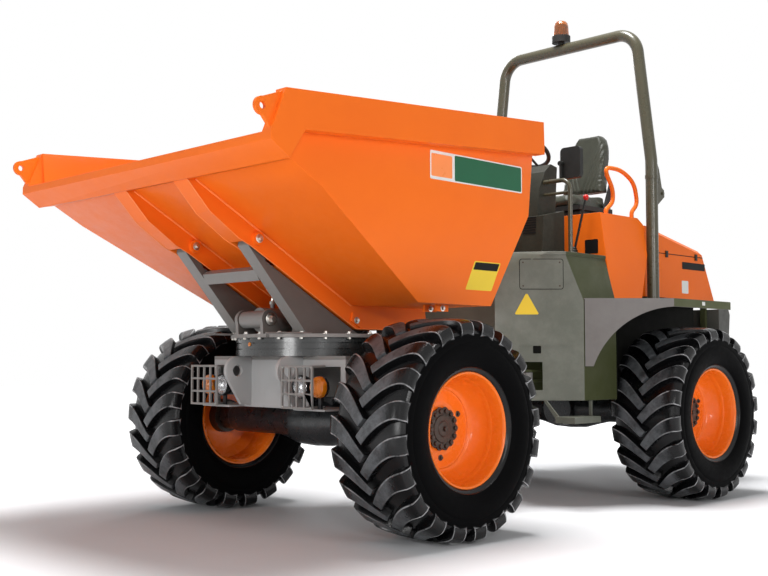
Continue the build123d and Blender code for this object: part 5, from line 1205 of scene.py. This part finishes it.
@dataclass
class DeckDress(Dress):
    """Covers, plates, controls and glass of the driver's platform, and the beacon."""

    body: str = "rear_chassis"

    def corner(self) -> None:
        """Bolted cover, blank triangle and step slot on the platform's bevelled corner."""
        look, (x, y, z) = self.palette, (-109.5, 599.5, 1495)
        self.add("corner_cover", look.olive,
                 panel((x, y, z), CORNER_FACE, round_rect(276, 190, 14), 1.6))
        self.add("corner_cover_seal", look.shade_and_seal_black,
                 panel((x, y, z), CORNER_FACE, round_rect(284, 198, 17), 0.7))
        rivet = [(0, 0), (0, 7), (1.0, 6.4), (2.0, 4.4), (2.6, 0)]
        heads = [turned(rivet, (x - DIAGONAL * u, y + DIAGONAL * u, z + v),
                        (DIAGONAL, DIAGONAL, 0), 16) for u in (-118, 118) for v in (-76, 76)]
        self.add("corner_cover_rivets", look.dark, *heads)
        triangle = [(-76, 0), (-70, -6), (70, -6), (76, 0), (6, 126), (-6, 126)]
        self.add("corner_triangle", look.yellow,
                 panel((-41.5, 531.5, 1241), CORNER_FACE, triangle, 1.5))
        # The step slot is a flat black sheet: painted shade in the opening.
        self.sheet("corner_slot", look.shade_and_seal_black, (-87, 577, 1010), CORNER_FACE, (52, 50), 1.0)
        ledge = [(-150, -2), (180, -2), (180, 3), (-150, 3)]
        self.add("corner_ledge", look.olive, panel((-112, 602, 1036), CORNER_FACE, ledge, 4.0))

    def loops(self) -> None:
        """Grab loops bent in one flowing curve, in place of the solids."""
        path = [(-765, 0), (-765, 26), (-852, 88), (-850, 178), (-742, 320), (-960, 324),
                (-1120, 248), (-1155, 103), (-1080, 40), (-1080, 0)]
        line = rounded([(x, 655.0, 1942.4 + rise) for x, rise in path], 105.0, 9)
        self.add("grab_loops_bent", self.palette.orange, pipe(line, 15.0, 16), sharp=50,
                 node="grab_loops")

    def floor(self) -> None:
        """Raised diamonds of the chequered floor, each turned from its neighbours."""
        marks = []
        for row in range(11):
            for column in range(15):
                x, y = -975.0 + 42.0 * row, -287.0 + 41.0 * column
                long, thin = (13.0, 4.0) if (row + column) % 2 else (4.0, 13.0)
                marks.append(prism([(x - long, y), (x, y - thin), (x + long, y), (x, y + thin)],
                                   Along.Z, 1641.0, 1644.0))
        self.add("floor_diamonds", self.palette.grey, *marks, sharp=20, pair=False)

    def console(self) -> None:
        """Louvres on the console's leaning front, and gauges towards the driver."""
        look, lean = self.palette, 0.0773
        face = (SIDE, (-lean, 0.0, 0.997))
        slats = [panel((-258.5 - lean * (z - 1750), 387, z), face, round_rect(104, 9, 3), 3.0)
                 for z in range(1790, 1900, 17)]
        self.add("console_louvres", look.black, *slats)
        for name, finish, section in (
                ("gauge_rings", look.shiny,
                 [(-4, 0), (-4, 38), (8, 38), (11, 34), (7, 31), (5, 0)]),
                ("gauge_faces", look.white, [(7, 0), (7, 30), (8.5, 30), (8.5, 0)])):
            dials = [turned(section, (-492, y, 2100), (-0.997, 0, 0.08), 32)
                     for y in (-150, -50, 50, 150)]
            self.add(name, finish, *dials, pair=False)

    def controls(self) -> None:
        """Red knob of the lever, and the folded boot beside it."""
        ball = [(20 * math.cos(a), 20 * math.sin(a)) for a in np.linspace(math.pi, 0, 15)]
        self.add("lever_knob", self.palette.red, turned(ball, (-610, 600, 2044), UP, 24),
                 sharp=60, pair=False)
        folds = [(1.0, 0)]
        for step in range(5):
            folds += [(4 + 15 * step, 44 - 6 * step), (12 + 15 * step, 36 - 6 * step)]
        folds.append((76, 0))
        boot = turned(folds, (-610, 494, 1641), (0, 0.08, 1), 24)
        self.add("lever_boot", self.palette.trim, boot, sharp=60, pair=False)

    def glass(self) -> None:
        """Mirror glasses facing the driver, and the beacon's dome, core and ribs."""
        look, x, y = self.palette, -1250, -60
        self.sheet("mirror_glasses", look.mirror, (-411.5, 640, 2248), REAR_FACE, (140, 190), 1.8)
        dome = turned([(3424, 0), (3424, 58), (3436, 59.5), (3500, 56), (3524, 50), (3538, 38),
                       (3543.5, 20), (3544, 0)], (x, y, 0), UP, 64)
        self.add("beacon_dome", look.beacon, dome, sharp=40, body="roll_bar", pair=False,
                 node="beacon_lens")
        core = turned([(3424, 0), (3424, 44), (3436, 44), (3440, 30), (3500, 34), (3512, 24),
                       (3512, 0)], (x, y, 0), UP, 12)
        self.add("beacon_core", look.shiny, core, body="roll_bar", pair=False)
        rib = ((58, 3430), (54.5, 3500), (49, 3522), (38, 3536))
        ribs = [pipe(np.array([(x + r * math.cos(turn), y + r * math.sin(turn), z)
                               for r, z in rib]), 1.6, 6) for turn in turns(16)]
        self.add("beacon_ribs", look.beacon, *ribs, sharp=60, body="roll_bar", pair=False)

    def make(self) -> None:
        """Add every piece."""
        self.corner()
        self.loops()
        self.floor()
        self.console()
        self.controls()
        self.glass()


@dataclass
class RearDress(Dress):
    """Seams, latches, plates and bolts of the hood, roll bar and counterweight."""

    body: str = "rear_chassis"

    def hood(self) -> None:
        """Seal, latches and blank plates on the hood's, wings' and pods' sides."""
        look = self.palette
        self.add("hood_seal", look.black, box((-2146, -1500), (598.5, 601), (1724, 1730)))
        latches = [box((x - 14, x + 14), (600, 610), (1700, 1748)) for x in (-1620, -2040)]
        self.add("hood_latches", look.trim, *latches, body="hood")
        for name, finish, centre, face, size, depth in (
                ("hood_plate", look.black, (-2010, 600, 1653), LEFT_FACE, (334, 54), 1.5),
                ("hood_label", look.white, (-1880, 600, 1490), LEFT_FACE, (92, 96), 1.5),
                ("wing_strip", look.flange, (-1077.5, 1200, 1313), LEFT_FACE, (733, 51), 1.0),
                ("wing_reflector", look.white, (-1080, 1200, 1316), LEFT_FACE, (36, 24), 2.4),
                ("pod_plate", look.black, (-671.5, 598, 1713), FRONT_FACE, (106, 97), 1.5)):
            self.sheet(name, finish, centre, face, size, depth)

    def rollbar(self) -> None:
        """Collars at the roll bar's split, one fixed and one that folds with the bar."""
        for name, body, low in (("rollbar_collars_low", self.body, 2232),
                                ("rollbar_collars_high", "roll_bar", 2245)):
            ring = [(low, 40), (low, 46), (low + 11, 46), (low + 11, 40)]
            self.add(name, self.palette.hoop, turned(ring, (-1250, 715, 0), UP, 32), body=body)

    def tail(self) -> None:
        """Bolts and lamps of the counterweight."""
        bolts = [screw((-2372, y, z), BACK, 38) for y in (250, 480) for z in (980, 1210)]
        self.add("weight_bolts", self.palette.dark, *bolts)
        for name, finish, section in (
                ("tail_lamps", self.palette.ruby, [(0, 0), (0, 44), (14, 44), (20, 36), (22, 0)]),
                ("tail_lamp_rims", self.palette.trim,
                 [(0, 44), (0, 52), (10, 52), (12, 48), (10, 44)])):
            self.add(name, finish, turned(section, (-2371, 610, 1220), BACK, 32))

    def make(self) -> None:
        """Add every piece."""
        self.hood()
        self.rollbar()
        self.tail()


# ---------------------------------------------------------------- studio
@dataclass(frozen=True)
class Lamp:
    """One soft square lamp: where it is and what it is aimed at in metres, watts and size."""

    name: str
    place: Point
    target: Point
    power: float
    size: float

    def make(self) -> None:
        """Add the lamp."""
        data = bpy.data.lights.new(self.name, "AREA")
        data.energy = self.power
        data.size = self.size
        item = show(self.name, data)
        item.location = self.place
        aim = Vector(self.target) - Vector(self.place)
        item.rotation_euler = aim.to_track_quat("-Z", "Y").to_euler()


@dataclass
class Studio:
    """Camera, floor, lamps and surroundings, in metres."""

    lens: float = 51.68
    sensor: float = 36.0
    eye: Point = (5.5001, 4.9338, 0.9564)
    ahead: Point = (-0.6999, -0.7115, 0.0633)
    reach: float = 30.0         # half the floor's width
    glow: Pair = (2.6, 6.5)     # distances from the middle where the floor starts and fully glows
    light: float = 0.27         # strength of the surroundings' light
    lamps: tuple[Lamp, ...] = (
        Lamp("key", (0.6, 0.3, 8.5), (0.4, 0.0, 1.0), 930.0, 2.6),
        Lamp("fill", (2.2, 8.8, 3.0), (0.0, 0.0, 1.5), 180.0, 2.4),
        Lamp("front", (8.0, 1.0, 1.3), (2.0, 0.0, 1.9), 125.0, 1.8),
        Lamp("back", (-5.0, -6.0, 6.0), (0.0, 0.0, 1.2), 140.0, 3.0),
        Lamp("spark", (6.2, 6.4, 2.4), (1.2, 1.0, 0.9), 80.0, 0.6),
    )

    def camera(self) -> None:
        """Put the camera where the machine is looked at from its front left corner."""
        data = bpy.data.cameras.new("camera")
        data.lens = self.lens
        data.sensor_width = self.sensor
        item = show("camera", data)
        item.location = self.eye
        item.rotation_euler = Vector(self.ahead).to_track_quat("-Z", "Y").to_euler()
        bpy.context.scene.camera = item

    def floor(self) -> None:
        """Pale floor that shows white to the camera and keeps the machine's shadow."""
        r = self.reach
        mesh = bpy.data.meshes.new("floor")
        mesh.from_pydata([(-r, -r, 0), (r, -r, 0), (r, r, 0), (-r, r, 0)], [], [(0, 1, 2, 3)])
        item = show("floor", mesh)
        nodes = Nodes("floor")
        nodes.set(Roughness=0.9, Specular_IOR_Level=0.1, Emission_Color=(1.0, 1.0, 1.0, 1.0))
        tint = nodes.mix(nodes.noise(2, 3), (0.76, 0.765, 0.78), (0.73, 0.735, 0.75))
        nodes.link(tint, nodes.shader.inputs["Base Color"])
        away = nodes.add("ShaderNodeVectorMath", operation="LENGTH")
        nodes.link(nodes.place, away.inputs[0])
        glow = nodes.span(away.outputs["Value"], self.glow)
        shown = nodes.combine("MULTIPLY", glow, nodes.seen())
        nodes.link(shown, nodes.shader.inputs["Emission Strength"])
        mesh.materials.append(nodes.material)

    def world(self) -> None:
        """White behind the machine, in reflections and through glass; soft light on it."""
        world = bpy.data.worlds.new("studio")
        bpy.context.scene.world = world
        world.use_nodes = True
        world.node_tree.nodes.clear()
        graph = Graph(world.node_tree)
        mixer = graph.add("ShaderNodeMixShader")
        graph.link(graph.seen(), mixer.inputs[0])
        for strength, socket in ((self.light, mixer.inputs[1]), (1.0, mixer.inputs[2])):
            ground = graph.add("ShaderNodeBackground")
            ground.inputs["Color"].default_value = (1.0, 1.0, 1.0, 1.0)
            ground.inputs["Strength"].default_value = strength
            graph.link(ground.outputs[0], socket)
        graph.link(mixer.outputs[0], graph.add("ShaderNodeOutputWorld").inputs[0])

    def make(self) -> None:
        """Build the studio."""
        bpy.context.scene.view_settings.view_transform = "Standard"
        self.camera()
        self.floor()
        self.world()
        for lamp in self.lamps:
            lamp.make()


def under_wing(centre: Vector, normal: Vector) -> bool:
    """Whether a face of a mudguard looks down or lies inboard, out of the light: these faces take
    the near-black painted shade.
    """
    return normal.z < -0.3 or abs(centre.y) < 0.82


def side_on(centre: Vector, normal: Vector) -> bool:
    """Whether a face of the tower is the side of an arm: these faces take a darker, warmer grey,
    painted shade and painted orange reflection.
    """
    return abs(normal.y) > 0.9 and centre.z > 1.1


def leans_out(centre: Vector, normal: Vector) -> bool:
    """Whether a face of the platform is one of its dark side walls."""
    return abs(normal.y) > 0.9 and abs(centre.y) > 0.68


def finish_nodes(palette: Palette) -> dict[str, Material]:
    """Give every CAD node that may show its finish, and return the finishes by node."""
    looks = {
        palette.orange: ("skip_tub", "skip_ribs", "side_pods", "engine_housing", "engine_lid",
                         "seat_pedestal", "grab_loops"),
        palette.grey: ("front_frame", "tower", "lamp_guards", "tip_barrel", "steer_barrel_left",
                       "steer_barrel_right"),
        palette.plate: ("front_plate",),
        palette.olive: ("platform", "steps"),
        palette.moss: ("rear_frame",),
        palette.wing: ("mudguards",),
        palette.weight: ("counterweight",),
        palette.hoop: ("rops_legs", "rops_hoop", "handrails"),
        palette.iron: ("front_axle", "rear_axle", "engine_block"),
        palette.ring: ("slew_ring",),
        palette.trim: ("steering_wheel", "seat_frame", "mirrors", "controls", "rear_grille",
                       "beacon_base"),
        palette.dash: ("console",),
        palette.chrome: ("tip_rod", "steer_rod_left", "steer_rod_right"),
        palette.clear: ("headlamps",),
        palette.amber: ("indicators", "beacon_lens"),
    }
    finish_of = {name: finish for finish, names in looks.items() for name in names}
    for name, finish in finish_of.items():
        mesh = frame["nodes"][name].data
        mesh.materials.clear()
        mesh.materials.append(finish)
        shade(mesh, 30)
    return finish_of


def soften_nodes(palette: Palette, finish_of: dict[str, Material]) -> None:
    """Round the edges of the sheet and cast solids, each by its own width in metres."""
    bodies = frame["record"]["behaviour"]["bodies"]
    owner = {node: body for body, nodes in bodies.items() for node in nodes}
    widths = {"skip_tub": 0.0025, "skip_ribs": 0.0025, "front_frame": 0.0025,
              "rear_frame": 0.0025, "front_plate": 0.003, "lamp_guards": 0.002,
              "counterweight": 0.008, "engine_lid": 0.006, "engine_housing": 0.006,
              "side_pods": 0.014, "console": 0.030, "mirrors": 0.010, "steps": 0.002,
              "rear_grille": 0.001, "front_axle": 0.006, "rear_axle": 0.006,
              "mudguards": 0.003, "tower": 0.003, "platform": 0.003}
    # Second finishes: near-black painted shade under and inboard of the mudguards, painted shade
    # and orange reflection on the tower arms' sides; the platform's side walls take their dark
    # olive paint.
    two_finishes = {"mudguards": (palette.shade_and_seal_black, under_wing), "tower": (palette.shaded_side_grey, side_on),
                    "platform": (palette.moss, leans_out)}
    skins = Skins()
    for name, width in widths.items():
        skins.soften(name, finish_of[name], owner[name], width, *two_finishes.get(name, ()))


def main() -> None:
    """Build the studio, dress every solid and add the detailed pieces."""
    logging.basicConfig(level=logging.INFO, format="%(message)s")
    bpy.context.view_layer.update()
    Studio().make()
    palette = Palette()
    soften_nodes(palette, finish_nodes(palette))
    for axle, x in (("front", AXLE_X), ("rear", -AXLE_X)):
        for hand, side in (("left", 1), ("right", -1)):
            Wheel(palette, f"wheel_{axle}_{hand}", f"{axle}_{hand}", x, side).make()
    Seat(palette).make()
    for dress in (SkipDress, FrontDress, DeckDress, RearDress):
        dress(palette).make()


if __name__ == "__main__":
    main()
